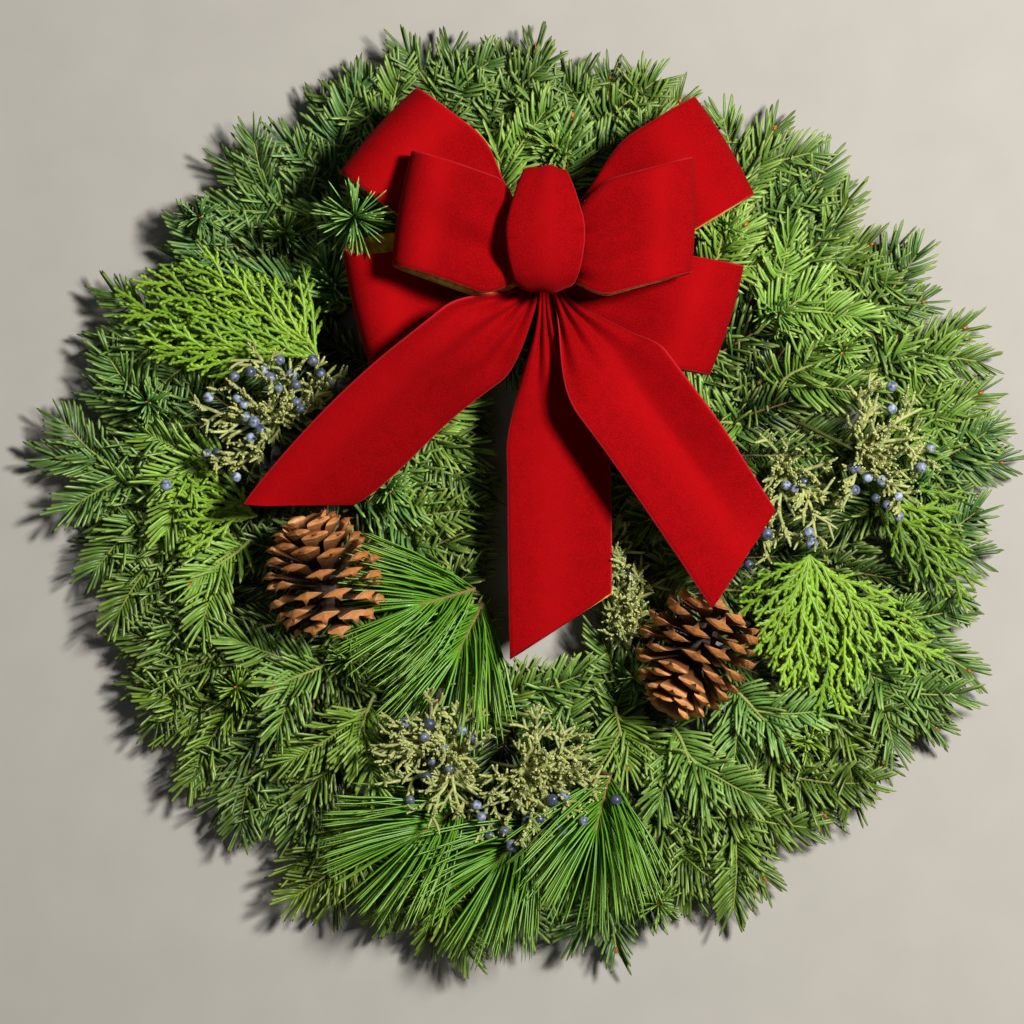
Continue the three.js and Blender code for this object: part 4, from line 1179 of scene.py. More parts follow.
@dataclass
class FirBunches:
    """The 18 clamped bunches of noble fir, with the shorter twigs that fill between them.

    Lengths are in millimetres and angles in degrees.
    """

    greens: Greens
    growth: Growth = Growth(1.17, 21.5, 1.9, 62.0, 24.0, -8.0, 58.0, 2.4, 5.0, 11)
    twig_girth: Span = (3.6, 1.3)
    shoot_girth: Span = (1.9, 1.0)
    fill_girth: Span = (2.0, 1.0)
    star_girth: Span = (2.2, 1.4)
    butt_girth: Span = (2.6, 3.4)
    butt_half: float = 14.0
    tip_back: float = 12.0
    long_twig: float = 95.0
    shoot_angle: float = 38.0
    shoot_length: Span = (44.0, 64.0)
    fill_step: float = 41.0
    fill_length: Span = (48.0, 70.0)
    fill_radii: tuple[float, ...] = (100.0, 120.0, 143.0, 168.0, 194.0, 220.0)
    fill_heights: tuple[float, ...] = (14.0, 18.0, 20.0, 20.0, 17.0, 13.0)
    fill_turn: float = 34.0
    inner_radius: float = 125.0
    reach_limit: float = 272.0
    patch_half: float = 27.0
    middle_twigs: int = 44
    middle_length: float = 44.0
    middle_radius: float = 150.0
    bud_share: float = 0.55
    star_length: float = 25.0
    star_lean: float = 0.35
    stars: tuple[Place, ...] = (
        (24, 212, 18), (-122, 128, 18), (200, 98, 18), (-88, 14, 18), (152, 122, 16), (84, -252, 12), (66, -112, 16),
        (-112, -98, 16), (26, -146, 16), (-178, -120, 16), (230, -70, 14), (-204, 178, 12), (74, 226, 14),
        (-232, 58, 14), (180, -150, 14), (-60, -236, 14), (118, 168, 16), (248, 6, 14),
        (-66, 226, 16), (100, 116, 16), (-150, 160, 16),
    )
    tall_star: tuple[Place, Place, Place] = ((-92, 182, 24), (-104, 173, 70), (-104, 172, 99))
    tall_star_girth: Span = (2.8, 1.4)
    tall_star_bare: float = 0.62
    tall_star_size: float = 1.3
    tall_star_light: float = 1.3
    tall_star_hue: float = 0.85
    patches: tuple[Spot, ...] = (
        (133, 80), (122, 94), (143, 68), (128, 66), (-108, -96), (-114, -84), (-100, -106), (-112, -112),
        (208, -9), (196, 4), (-118, 40), (-126, 20), (112, 40), (-96, 60), (40, -112), (52, -104),
    )
    edge_twigs: tuple[tuple[Place, Place], ...] = (
        ((-18, -130, 24), (39, -107, 32)), ((66, -138, 25), (48, -86, 31)), ((18, -158, 21), (32, -112, 29)),
        ((52, -150, 26), (64, -104, 30)), ((-34, -142, 24), (2, -112, 29)),
    )
    edge_light: float = 0.85
    bud_tips: list[tuple[Vector, Vector]] = field(default_factory=list)

    def build(self) -> None:
        """Builds and dresses every bunch."""
        needle = NeedleShape("fir_needle", ((0.0, 0.5), (0.45, 1.0), (0.9, 0.82)), flat=0.4).build()
        leaf = LeafFinish("waxy_fir_needle", "081d04", "93b52a", "74aa5c", "c6dc74", 0.38).build()
        fill = self._fill_twigs()
        for index, plan in enumerate(BUNCHES):
            rng = random.Random(900 + index)
            twigs = Twigs(f"fir_spray_{index + 1:02d}", self.greens.middle)
            for number, spray in enumerate(plan.sprays):
                self._add_spray(twigs, index, number, spray, rng)
            for path, shade in fill[index]:
                twigs.add(path, self.fill_girth, 0.0, 0.95, shade * plan.light, plan.hue + rng.uniform(-0.2, 0.25))
            self._add_stars(twigs, index, rng)
            self._add_butts(twigs, index, rng)
            piece = self.greens.tree.dress(twigs, self.growth, needle, (leaf, self.greens.twig_bark))
            self.greens.finish(piece, "fir", f"fir_bunch_{index + 1:02d}")
        bpy.data.objects.remove(needle)
        FirBuds(self.greens).build(self.bud_tips)

    def _butt_ends(self, index: int) -> tuple[Vector, Vector]:
        """The two ends of the stems that a clamp holds.

        Args:
            index: Which clamp, clockwise from the top.

        Returns:
            The cut end and the end where the sprays start.
        """
        angle = radians(index * CLAMP_STEP)
        tangent = Vector((cos(angle), -sin(angle), 0.0)) * self.butt_half
        middle = on_ring(index * CLAMP_STEP, BUTT_HEIGHT)
        return middle - tangent, middle + tangent

    def _add_spray(self, twigs: Twigs, index: int, number: int, spray: Spray, rng: random.Random) -> None:
        """Adds a main twig and its side shoots.

        Args:
            twigs: The collection that gets them.
            index: The clamp's number.
            number: The spray's number in its bunch.
            spray: Where the spray goes.
            rng: The bunch's random numbers.
        """
        plan = BUNCHES[index]
        low, high = spray.layer.value
        root = Vector((*spray.start, low))
        tip = Vector((*spray.tip, high))
        aim = (tip - root).normalized()
        foot = min(self._butt_ends(index), key=lambda end: (end - root).length)
        end = tip - aim * self.tip_back
        sag = up(rng.uniform(1.0, 4.0))
        path = smooth_path([foot, root, root.lerp(end, 0.55) + sag, end], 15)
        length = (end - foot).length
        bare = min(0.55, 0.75 * (root - foot).length / max(length, 1.0))
        # Painted light: sprays on the face, on top of the wreath, are made lighter than those at the rim
        shade = plan.light + (0.2 if spray.layer is Layer.FACE else 0.06) + rng.uniform(-0.14, 0.16)
        hue = plan.hue + rng.uniform(-0.35, 0.4)
        twigs.add(path, self.twig_girth, bare, 1.0, shade, hue)
        if rng.random() < self.bud_share:
            self.bud_tips.append((end, (path[-1] - path[-2]).normalized()))
        shoots = 3 if length > self.long_twig else 2
        for k in range(shoots):
            share = bare + (0.86 - bare) * (k + 0.3) / shoots
            at = path[int(share * 14)]
            side = 1 if (k + number) % 2 else -1
            turn = Matrix.Rotation(radians(self.shoot_angle + rng.uniform(-8, 8)) * side, 3, "Z")
            reach = rng.uniform(*self.shoot_length) * (1.0 - 0.35 * k / shoots)
            away = turn @ Vector((aim.x, aim.y, 0)).normalized()
            far = at + away * reach + up(rng.uniform(-3.0, 4.0))
            if in_hole(far, 8.0) or in_hole(at.lerp(far, 0.6), 6.0):
                continue
            bow = (aim * 0.12 + away).normalized() * reach * 0.5
            bent = smooth_path([at, at + bow + up(2), far], 9)
            twigs.add(bent, self.shoot_girth, 0.06, 0.94, shade - 0.06 + rng.uniform(-0.06, 0.06), hue)

    def _fill_twigs(self) -> list[Fill]:
        """Short twigs in the depth of the wreath, for each bunch, with how light each is: they get painted shade,
        darker than the sprays.

        Returns:
            For each bunch, a list of paths and how light each is.
        """
        rng = random.Random(77)
        found: list[Fill] = [[] for _ in BUNCHES]
        self._fill_middle(found, rng)
        for ring, radius in enumerate(self.fill_radii):
            count = round(tau * radius / self.fill_step)
            for k in range(count):
                bearing = 360 * (k + 0.5 * (ring % 2) + rng.uniform(-0.25, 0.25)) / count
                height = self.fill_heights[ring] + rng.uniform(-4, 4)
                at = on_ring(bearing, height, radius + rng.uniform(-7, 7))
                outward = Vector((at.x, at.y, 0)).normalized()
                inside = radius < self.inner_radius and rng.random() < 0.6
                turn = Matrix.Rotation(radians(rng.uniform(-self.fill_turn, self.fill_turn)), 3, "Z")
                away = turn @ (-outward if inside else outward)
                reach = rng.uniform(*self.fill_length)
                far = at + away * reach + up(rng.uniform(-3, 5))
                near = at - away * 8
                if any(in_hole(near.lerp(far, share), 9.0) for share in (0.0, 0.5, 1.0)):
                    continue
                if Vector((far.x, far.y * 1.05)).length > self.reach_limit:
                    continue
                path = arch(near, far, 3, 8)
                # Painted shade: the fill twigs are kept dark, as the depth between the sprays
                found[round(bearing / CLAMP_STEP) % len(BUNCHES)].append((path, rng.uniform(0.15, 0.7)))
        for x, y in self.patches:
            away = Vector((sin(x + y), cos(x + y), 0)) * self.patch_half
            middle = Vector((x, y, rng.uniform(16, 24)))
            path = smooth_path([middle - away, middle + up(3), middle + away], 8)
            if not any(in_hole(place, 9.0) for place in path):
                found[self._nearest((x, y))].append((path, rng.uniform(0.3, 0.8)))
        for low, high in self.edge_twigs:
            found[self._nearest(low)].append((arch(Vector(low), Vector(high), 3, 8), self.edge_light))
        return found

    def _fill_middle(self, found: list[Fill], rng: random.Random) -> None:
        """Adds twigs that lean over the edge of the open middle.

        Args:
            found: The lists that get them.
            rng: The random numbers of the fill.
        """
        heart = (HOLE_LOW + HOLE_HIGH) / 2
        for k in range(self.middle_twigs):
            angle = tau * (k + rng.uniform(-0.3, 0.3)) / self.middle_twigs
            heading = Vector((sin(angle), cos(angle)))
            steps = range(20, 200, 2)
            edge = next(step for step in steps if not in_hole(Vector((*(heart + heading * step), 0)), 9.0))
            start = heart + heading * (edge + self.middle_length + rng.uniform(-6, 6))
            if start.length > self.middle_radius:
                continue
            near = Vector((*start, rng.uniform(15, 27)))
            sideways = Vector((heading.y, -heading.x)) * rng.uniform(-16, 16)
            stop = heart + heading * (edge + rng.uniform(0, 7)) + sideways
            if in_hole(Vector((*stop, 0)), 6.0):
                continue
            far = Vector((*stop, near.z + rng.uniform(-2, 7)))
            found[self._nearest(near)].append((arch(near, far, 3, 8), rng.uniform(0.3, 0.8)))

    def _nearest(self, spot: Spot | Place | Vector) -> int:
        """The bunch whose clamp is nearest to a place."""
        return round(degrees(atan2(spot[0], spot[1])) / CLAMP_STEP) % len(BUNCHES)

    def _add_stars(self, twigs: Twigs, index: int, rng: random.Random) -> None:
        """Adds the shoots that stand up out of the face, whose needles spread like a star.

        Args:
            twigs: The twigs that they join.
            index: Which bunch, clockwise from the top.
            rng: The bunch's random draws.
        """
        plan = BUNCHES[index]
        for x, y, height in self.stars:
            if self._nearest((x, y)) != index:
                continue
            foot = Vector((x, y, height))
            tilt = (rng.uniform(-self.star_lean, self.star_lean), rng.uniform(-self.star_lean, self.star_lean), 1)
            lean = Vector(tilt).normalized()
            top = foot + lean * self.star_length
            hue = plan.hue + rng.uniform(-0.3, 0.5)
            for k in range(3):
                angle = tau * k / 3
                around = Vector((cos(angle), sin(angle), 0))
                rows = [foot, foot.lerp(top, 0.5), top]
                twigs.add(rows, self.star_girth, 0.0, 0.85, plan.light + 0.3, hue, around)
            self.bud_tips.append((top, lean))
        if self._nearest(self.tall_star[0]) == index:
            path = smooth_path([Vector(place) for place in self.tall_star], 12)
            look = (self.tall_star_bare, self.tall_star_size, self.tall_star_light, self.tall_star_hue)
            for k in range(4):
                angle = pi * k / 2
                twigs.add(path, self.tall_star_girth, *look, Vector((cos(angle), sin(angle), 0)))

    def _add_butts(self, twigs: Twigs, index: int, rng: random.Random) -> None:
        """Adds the cut ends that the clamp folds over.

        Args:
            twigs: The twigs that they join.
            index: Which bunch, clockwise from the top.
            rng: The bunch's random draws.
        """
        first, second = self._butt_ends(index)
        for k in range(4):
            angle = tau * k / 4
            across = Vector((first.x + second.x, first.y + second.y, 0)).normalized() * 2.0 * cos(angle)
            offset = up(2.0 * sin(angle)) + across * 0.9
            start, end = first + offset, second + offset
            girths = (rng.uniform(*self.butt_girth),) * 2
            twigs.add([start, start.lerp(end, 0.5), end], girths, NO_NEEDLES, 1.0, 0.12, 0.3)


@dataclass
class FirBuds:
    """Small resinous buds at the tips of some fir twigs, in millimetres."""

    greens: Greens
    length: float = 4.6
    width: float = 2.9
    sides: int = 6
    rings: tuple[Span, ...] = ((0.0, 0.55), (0.3, 1.0), (0.7, 0.72), (0.95, 0.2))

    def build(self, tips: list[tuple[Vector, Vector]]) -> None:
        """Builds one piece of all the buds.

        Args:
            tips: The place of each bud and the direction in which its twig ends.
        """
        points: list[Vector] = []
        reach: list[float] = []
        faces: list[tuple[int, ...]] = []
        for place, heading in tips:
            first = len(points)
            turn = up(1).rotation_difference(heading).to_matrix()
            for share, girth in self.rings:
                for k in range(self.sides):
                    angle = tau * k / self.sides
                    x, y = (way(angle) * girth * self.width / 2 for way in (cos, sin))
                    raw = Vector((x, y, share * self.length))
                    points.append(self.greens.middle + (place + turn @ raw) * MM)
                    reach.append(share)
            faces += tube_faces(len(self.rings), self.sides, first)
            faces.append(tuple(range(len(points) - self.sides, len(points))))
        piece = make_object("fir_buds", points, faces, {"reach": reach})
        piece.data.materials.append(BudFinish().build())
        self.greens.finish(piece, "fir")


@dataclass
class CedarFans:
    """Flat ferny fans of cedar: alternate branchlets of overlapping pointed scale leaves.

    Lengths are in millimetres and angles in degrees.
    """

    greens: Greens
    growth: Growth = Growth(1.8, 5.8, 1.7, 15.0, 6.0, -8.0, 8.0, 1.0, 0.2, 23)
    foot_girth: Span = (3.2, 2.4)
    frond_girth: Span = (1.8, 1.0)
    branch_girth: Span = (2.2, 1.7)
    twiglet_girth: Span = (1.9, 1.5)
    branch_step: float = 11.0
    branch_angle: float = 27.0
    longest_branch: float = 56.0
    twiglet_step: float = 6.4
    twiglet_angle: float = 31.0
    tip_lifts: tuple[float, ...] = (-5, 1, 6)
    far_light: float = 0.55
    light: float = 0.8

    def build(self) -> None:
        """Builds every fan."""
        scale = NeedleShape("cedar_scale_leaf", ((0.0, 0.75), (0.4, 1.0)), flat=0.4).build()
        leaf = LeafFinish("glossy_cedar_scale", "17380a", "a4cc38", "7cb030", "c2e062", 0.4, 0.35).build()
        for plan in CEDARS:
            rng = random.Random(sum(map(ord, plan.node)))
            twigs = Twigs(plan.node.replace("_fan", "_frond"), self.greens.middle)
            root = Vector((*plan.root, plan.height))
            twigs.add_foot(plan.bearing, root, self.foot_girth)
            shade = self.far_light if plan.node.endswith("far_right") else self.light
            for number, tip in enumerate(plan.tips):
                end = Vector((*tip, plan.height + self.tip_lifts[number % 3]))
                self._add_frond(twigs, root, end, shade, rng)
            piece = self.greens.tree.dress(twigs, self.growth, scale, (leaf, leaf))
            self.greens.finish(piece, "cedar", plan.node)
        bpy.data.objects.remove(scale)

    def _add_frond(self, twigs: Twigs, root: Vector, tip: Vector, shade: float, rng: random.Random) -> None:
        """Adds one frond, with branchlets on both sides that shorten towards its tip.

        Args:
            twigs: The collection that gets it.
            root: Where it starts.
            tip: Where it ends.
            shade: How light it is.
            rng: The fan's random numbers.
        """
        aim = (tip - root).normalized()
        side = Vector((-aim.y, aim.x, 0)).normalized()
        path = smooth_path([root, root.lerp(tip, 0.5) + side * rng.uniform(-4, 4) + up(3), tip + up(-3)], 14)
        tilt = Vector((rng.uniform(-0.2, 0.2), rng.uniform(-0.2, 0.2), 1)).normalized()
        twigs.add(path, self.frond_girth, 0.05, 1.0, shade, rng.uniform(0.1, 0.5), tilt)
        count = max(int((tip - root).length / self.branch_step), 4)
        for k in range(count):
            share = 0.12 + 0.84 * k / count
            before = int(share * 13)
            at = path[before].lerp(path[min(before + 1, 13)], share * 13 % 1)
            turned = 1 if k % 2 else -1
            reach = self.longest_branch * (1 - 0.72 * share) * rng.uniform(0.8, 1.1)
            self._add_branchlet(twigs, (at, aim, tilt), turned, reach, shade + rng.uniform(-0.12, 0.1), rng)

    def _add_branchlet(
        self, twigs: Twigs, stand: tuple[Vector, Vector, Vector], turned: int, reach: float, shade: float,
        rng: random.Random,
    ) -> None:
        """Adds a branchlet and its short twiglets.

        Args:
            twigs: The collection that gets them.
            stand: Where it starts, the frond's direction and the direction that is up for it.
            turned: The side that it grows on, 1 or -1.
            reach: How long it is.
            shade: How light it is.
            rng: The fan's random numbers.
        """
        at, aim, tilt = stand
        angle = radians(self.branch_angle + rng.uniform(-6, 6)) * turned
        away = Matrix.Rotation(angle, 3, tilt) @ aim
        curve = Matrix.Rotation(-angle * 0.35, 3, tilt) @ away
        far = at + away * reach * 0.5 + curve * reach * 0.5
        path = smooth_path([at, at + away * reach * 0.5, far], 7)
        hue = rng.uniform(0.1, 0.6)
        twigs.add(path, self.branch_girth, 0.0, 0.92, shade, hue, tilt)
        steps = int(reach / self.twiglet_step)
        for k in range(1, steps + 1):
            share = k / (steps + 1)
            start = path[int(share * 6)]
            turn = Matrix.Rotation(radians(self.twiglet_angle) * (1 if k % 2 else -1), 3, tilt)
            heading = turn @ (away.lerp(curve, share)).normalized()
            run = (4.5 + 6.0 * (1 - share)) * rng.uniform(0.75, 1.15)
            rows = [start, start + heading * run * 0.55, start + heading * run]
            twigs.add(rows, self.twiglet_girth, 0.0, 0.86, shade + rng.uniform(-0.12, 0.12), hue, tilt)


@dataclass
class JuniperSprigs:
    """Tangled sprigs of scaly juniper cords that carry bloomed blue berries.

    Lengths are in millimetres and angles in degrees.
    """

    greens: Greens
    growth: Growth = Growth(2.0, 3.6, 1.7, 13.0, 9.0, -85.0, 85.0, 1.0, 0.0, 37)
    foot_girth: Span = (3.4, 2.4)
    cord_girth: Span = (3.0, 2.2)
    fork_girth: Span = (2.3, 1.9)
    branch_step: float = 4.9
    branch_length: Span = (10.0, 19.0)
    tip_lifts: tuple[float, ...] = (6, 11, 3)
    light: float = 0.84
    lowest: float = 10.0
    berry_size: Span = (5.8, 8.2)
    stalk_radius: float = 0.5

    def build(self) -> None:
        """Builds every sprig with its berries."""
        scale = NeedleShape("juniper_scale_leaf", ((0.0, 0.8), (0.5, 1.0)), sides=3, flat=1.0).build()
        leaf = LeafFinish("olive_juniper_scale", "434b18", "cccf78", "b2bf86", "e6e2a4", 0.55, 0.35).build()
        berry = BerryFinish().build()
        for plan in JUNIPERS:
            rng = random.Random(sum(map(ord, plan.node)) * 3)
            twigs = Twigs(plan.node.replace("_sprig", "_cords"), self.greens.middle)
            root = Vector((*plan.root, plan.height))
            twigs.add_foot(plan.bearing, root, self.foot_girth)
            # Shorter cords fill the gaps between the outer ones
            pairs = zip(plan.tips, plan.tips[1:] + plan.tips[:1])
            between = [tuple((a + b) * 0.46 for a, b in zip(*pair)) for pair in pairs]
            inward = [tuple(0.08 * at + value for at, value in zip(plan.root, spot)) for spot in between]
            for number, tip in enumerate((*plan.tips, *inward)):
                end = Vector((*tip, plan.height + self.tip_lifts[number % 3]))
                self._add_cord(twigs, root, end, rng)
            piece = self.greens.tree.dress(twigs, self.growth, scale, (leaf, leaf))
            self.greens.finish(piece, "juniper", plan.node)
            self._add_berries(plan, berry, rng)
        bpy.data.objects.remove(scale)

    def _add_cord(self, twigs: Twigs, root: Vector, tip: Vector, rng: random.Random) -> None:
        """Adds a main cord and its side cords, which fork again.

        Args:
            twigs: The twigs that they join.
            root: Where the cord starts.
            tip: Where it ends.
            rng: The fan's random draws.
        """
        sway = Vector((rng.uniform(-7, 7), rng.uniform(-7, 7), 4))
        path = smooth_path([root, root.lerp(tip, 0.5) + sway, tip], 12)
        twigs.add(path, self.cord_girth, 0.1, 1.0, self.light, rng.uniform(0.1, 0.7))
        count = max(int((tip - root).length / self.branch_step), 3)
        for k in range(count):
            at = int((0.1 + 0.86 * k / count) * 11)
            ahead = (path[min(at + 1, 11)] - path[max(at - 1, 0)]).normalized()
            self._add_fork(twigs, path[at], ahead, rng.uniform(*self.branch_length), 2, rng)

    def _add_fork(
        self, twigs: Twigs, at: Vector, ahead: Vector, reach: float, depth: int, rng: random.Random
    ) -> None:
        """Adds a side cord, turned out at random, and the cords that leave it.

        Args:
            twigs: The collection that gets them.
            at: Where it starts.
            ahead: The direction of the cord that it leaves.
            reach: How long it is.
            depth: How often it forks again.
            rng: The sprig's random numbers.
        """
        square = ahead.cross(up(1)).normalized()
        opened = radians(rng.uniform(32, 56))
        tilt = Matrix.Rotation(opened, 3, square if rng.random() < 0.35 else up(rng.choice((-1, 1))))
        away = (tilt @ ahead + up(rng.uniform(-0.15, 0.4))).normalized()
        curl = Vector((rng.uniform(-1, 1), rng.uniform(-1, 1), rng.uniform(-0.3, 0.6))) * reach * 0.16
        far = at + away * reach + curl
        if in_hole(far, 4.0) or far.z < self.lowest:
            return
        path = smooth_path([at, at + away * reach * 0.5, far], 6)
        twigs.add(path, self.fork_girth, 0.0, 0.92, self.light + rng.uniform(-0.25, 0.2), rng.uniform(0.0, 0.8))
        if depth:
            for share, again in ((0.35, depth - 1), (0.68, 0)):
                self._add_fork(twigs, at.lerp(far, share), away, reach * rng.uniform(0.42, 0.62), again, rng)

    def _add_berries(self, plan: AccentPlan, finish: Material, rng: random.Random) -> None:
        """Sets the sprig's berries on its cords, each with a small crown scar and a short stalk.

        Args:
            plan: The sprig.
            finish: The berries' material.
            rng: The sprig's random numbers.
        """
        built = bmesh.new()
        layer = built.verts.layers.float.new("shade")
        row = BERRIES[plan.node]
        for x, y in zip(row[::2], row[1::2]):
            size = rng.uniform(*self.berry_size) / 2
            centre = self.greens.middle + Vector((x, y, plan.height + rng.uniform(12, 17))) * MM
            made = bmesh.ops.create_icosphere(built, subdivisions=2, radius=size * MM)
            spin = rng.uniform(0, 6)
            turn = Matrix.Rotation(spin, 3, Vector((rng.uniform(-1, 1), rng.uniform(-1, 1), 0.3)).normalized())
            bloom = rng.uniform(0.15, 1.0) if "bottom" not in plan.node else rng.uniform(0.0, 0.7)
            for vertex in made["verts"]:
                raw = vertex.co.copy()
                raw *= 1.0 - 0.16 * max(raw.z / (size * MM), 0.0) ** 6
                vertex.co = turn @ raw + centre
                vertex[layer] = bloom
            down = Vector((rng.uniform(-3, 3), rng.uniform(-3, 3), -size - 4)) * MM
            self._add_stalk(built, centre, centre + down)
        mesh = bpy.data.meshes.new(plan.node.replace("_sprig", "_berries"))
        built.to_mesh(mesh)
        built.free()
        mesh.materials.append(finish)
        mesh.polygons.foreach_set("use_smooth", [True] * len(mesh.polygons))
        self.greens.finish(place_object(mesh.name, mesh), "juniper")

    def _add_stalk(self, built: bmesh.types.BMesh, top: Vector, foot: Vector) -> None:
        """Adds the short stalk that a berry sits on.

        Args:
            built: The mesh under way.
            top: Where it meets the berry.
            foot: Where it leaves the twig.
        """
        length, radius = (top - foot).length, self.stalk_radius * MM
        made = bmesh.ops.create_cone(built, cap_ends=True, segments=5, radius1=radius, radius2=radius, depth=length)
        turn = up(1).rotation_difference(top - foot).to_matrix()
        for vertex in made["verts"]:
            vertex.co = turn @ vertex.co + (top + foot) / 2


@dataclass
class PineTufts:
    """Tufts of long thin pine needles that fan out from a short shoot, in millimetres."""

    greens: Greens
    growth: Growth = Growth(0.24, 62.0, 1.85, 56.0, 10.0, -38.0, 58.0, 1.2, 20.0, 53)
    foot_girth: Span = (3.4, 3.0)
    shoot_girth: Span = (3.0, 2.2)
    depth: float = 36.0
    rise: float = 6.0

    def build(self) -> None:
        """Builds every tuft."""
        rings = ((0.0, 0.8), (0.25, 1.0), (0.6, 0.95), (0.93, 0.6))
        needle = NeedleShape("pine_needle", rings, sides=3, flat=0.9).build()
        leaf = LeafFinish("long_pine_needle", "123a05", "80bc2e", "66a440", "b0d45c", 0.36, 0.4).build()
        for plan in TUFTS:
            twigs = Twigs(plan.node.replace("_tuft", "_brush"), self.greens.middle)
            root = Vector((*plan.root, plan.height + self.rise))
            aim = (Vector((*plan.aim, plan.height + self.rise)) - root).normalized()
            before, end = root - aim * self.depth / 2, root + aim * self.depth / 2
            twigs.add_foot(plan.bearing, before, self.foot_girth, self.rise, 8, 0.4)
            twigs.add([before, root, end], self.shoot_girth, 0.0, 1.0, 0.62, 0.35)
            piece = self.greens.tree.dress(twigs, self.growth, needle, (leaf, self.greens.stem_bark))
            self.greens.finish(piece, "pine", plan.node)
        bpy.data.objects.remove(needle)


@dataclass
class PineCones:
    """Two open pine cones: woody scales in a spiral round a dark core.

    Lengths are in millimetres and angles in degrees.
    """

    greens: Greens
    places: tuple[tuple[str, Place, Place], ...] = (
        ("pine_cone_left", (-124.0, -48.0, 66.0), (-0.26, 0.95, 0.14)),
        ("pine_cone_right", (105.0, -94.0, 62.0), (-0.44, -0.86, 0.18)),
    )
    scales: int = 70
    corners: int = 8
    golden_angle: float = 137.508
    half_height: float = 27.0
    core_radius: float = 8.0
    scale_length: float = 30.0
    scale_width: float = 20.0
    lowest_lean: float = 108.0
    closing: float = 84.0

    def build(self) -> None:
        """Builds both cones."""
        scale = self._scale_shape()
        wood = WoodyFinish().build()
        tree = self._stand_tree()
        for number, (node, centre, way) in enumerate(self.places):
            heart, axis = Vector(centre), Vector(way).normalized()
            source = self._scale_places(node, heart, axis, number)
            name = node.replace("pine_cone", "cone_scales")
            piece = grow_mesh(source, tree, {"Shape": scale, "Material": wood}, name, (wood,))
            self._add_core(piece, heart, axis)
            self.greens.finish(piece, "cone", node)
        bpy.data.objects.remove(scale)

    def _scale_shape(self) -> Piece:
        """One scale, foot to end along +Z: a thin blade that ends in a thick ridged rhomb."""
        # Share along, half width, half thickness, lift of the back, rim mark
        rings = (
            (0.0, 0.12, 0.05, 0.0, 0.0),
            (0.45, 0.26, 0.045, 0.02, 0.0),
            (0.78, 0.46, 0.06, 0.05, 0.1),
            (0.9, 0.5, 0.13, 0.04, 1.0),
            (0.97, 0.42, 0.11, 0.02, 0.45),
        )
        corners = self.corners
        points: list[Place] = []
        marks: list[Span] = []
        for share, half, thick, lift, mark in rings:
            for k in range(corners):
                angle = tau * k / corners
                c, s = cos(angle), sin(angle)
                pull = 1.0 / (abs(c) + abs(s)) * 0.65 + 0.35
                points.append((half * c * pull, thick * s * pull + lift, share))
                marks.append((share, mark))
        faces = tube_faces(len(rings), corners)
        ring = len(points) - corners
        # The raised middle of the end, and the small prickle on it
        points += [(x * 0.3, y * 0.4 - 0.04, 1.03) for x, y, _ in points[ring:]]
        marks += [(0.92, 0.0)] * corners
        faces += tube_faces(2, corners, ring)[:corners]
        tip = len(points)
        points.append((0.0, -0.24, 1.1))
        marks.append((0.6, 0.0))
        faces += [(ring + corners + k, ring + corners + (k + 1) % corners, tip) for k in range(corners)]
        values = {"reach": [reach for reach, _ in marks], "rim": [edge for _, edge in marks]}
        return make_object("cone_scale", points, faces, values, smooth=False)

    def _scale_places(self, node: str, centre: Vector, axis: Vector, number: int) -> Piece:
        """Points in a spiral that carry where each scale aims and how large it is.

        Args:
            node: The cone's CAD node.
            centre: The cone's middle.
            axis: The direction of its top.
            number: The cone's number.

        Returns:
            An object of single points.
        """
        rng = random.Random(300 + number)
        square = axis.cross(up(1)).normalized()
        places, aims, backs, sizes = [], [], [], []
        for k in range(self.scales):
            share = (k + 0.5) / self.scales
            out = Matrix.Rotation(radians(self.golden_angle * k), 3, axis) @ square
            # Scales stand square to the core low down and close in towards the top
            lean = radians(self.lowest_lean - self.closing * share**1.25 + rng.uniform(-4, 4))
            aim = out * sin(lean) + axis * cos(lean)
            bulge = sin(pi * (0.12 + 0.76 * share)) ** 0.8
            foot = centre + axis * self.half_height * (1.7 * share - 0.95) + out * self.core_radius * bulge * 0.8
            size = (0.5 + 0.5 * bulge) * rng.uniform(0.94, 1.06)
            wide = self.scale_width * size * MM
            places.append(self.greens.middle + foot * MM)
            aims.append(aim)
            backs.append(axis - aim * aim.dot(axis))
            sizes.append((wide, wide, self.scale_length * size * MM))
        vectors = {"aim": aims, "back": backs, "grow": sizes}
        return make_object(node + "_spiral", places, [], vectors=vectors)

    def _stand_tree(self) -> Tree:
        """A node tree that stands a shape on each point, aimed and sized as the point says."""
        tree = new_group("stand_scales", {"Geometry": "Geometry", "Shape": "Object", "Material": "Material"})
        add = partial(add_node, tree)
        start = add("NodeGroupInput").node.outputs
        aim, back, grow = (add(NAMED, data_type="FLOAT_VECTOR", Name=name) for name in ("aim", "back", "grow"))
        turn = add(AXES, Primary_Axis=aim, Secondary_Axis=back)
        shape = add(SHAPE, Object=start["Shape"])
        standing = add(
            "GeometryNodeInstanceOnPoints", Points=start["Geometry"],
            Instance=shape.node.outputs["Geometry"], Rotation=turn, Scale=grow,
        )
        real = add("GeometryNodeRealizeInstances", Geometry=standing)
        add("NodeGroupOutput", add("GeometryNodeSetMaterial", Geometry=real, Material=start["Material"]))
        return tree

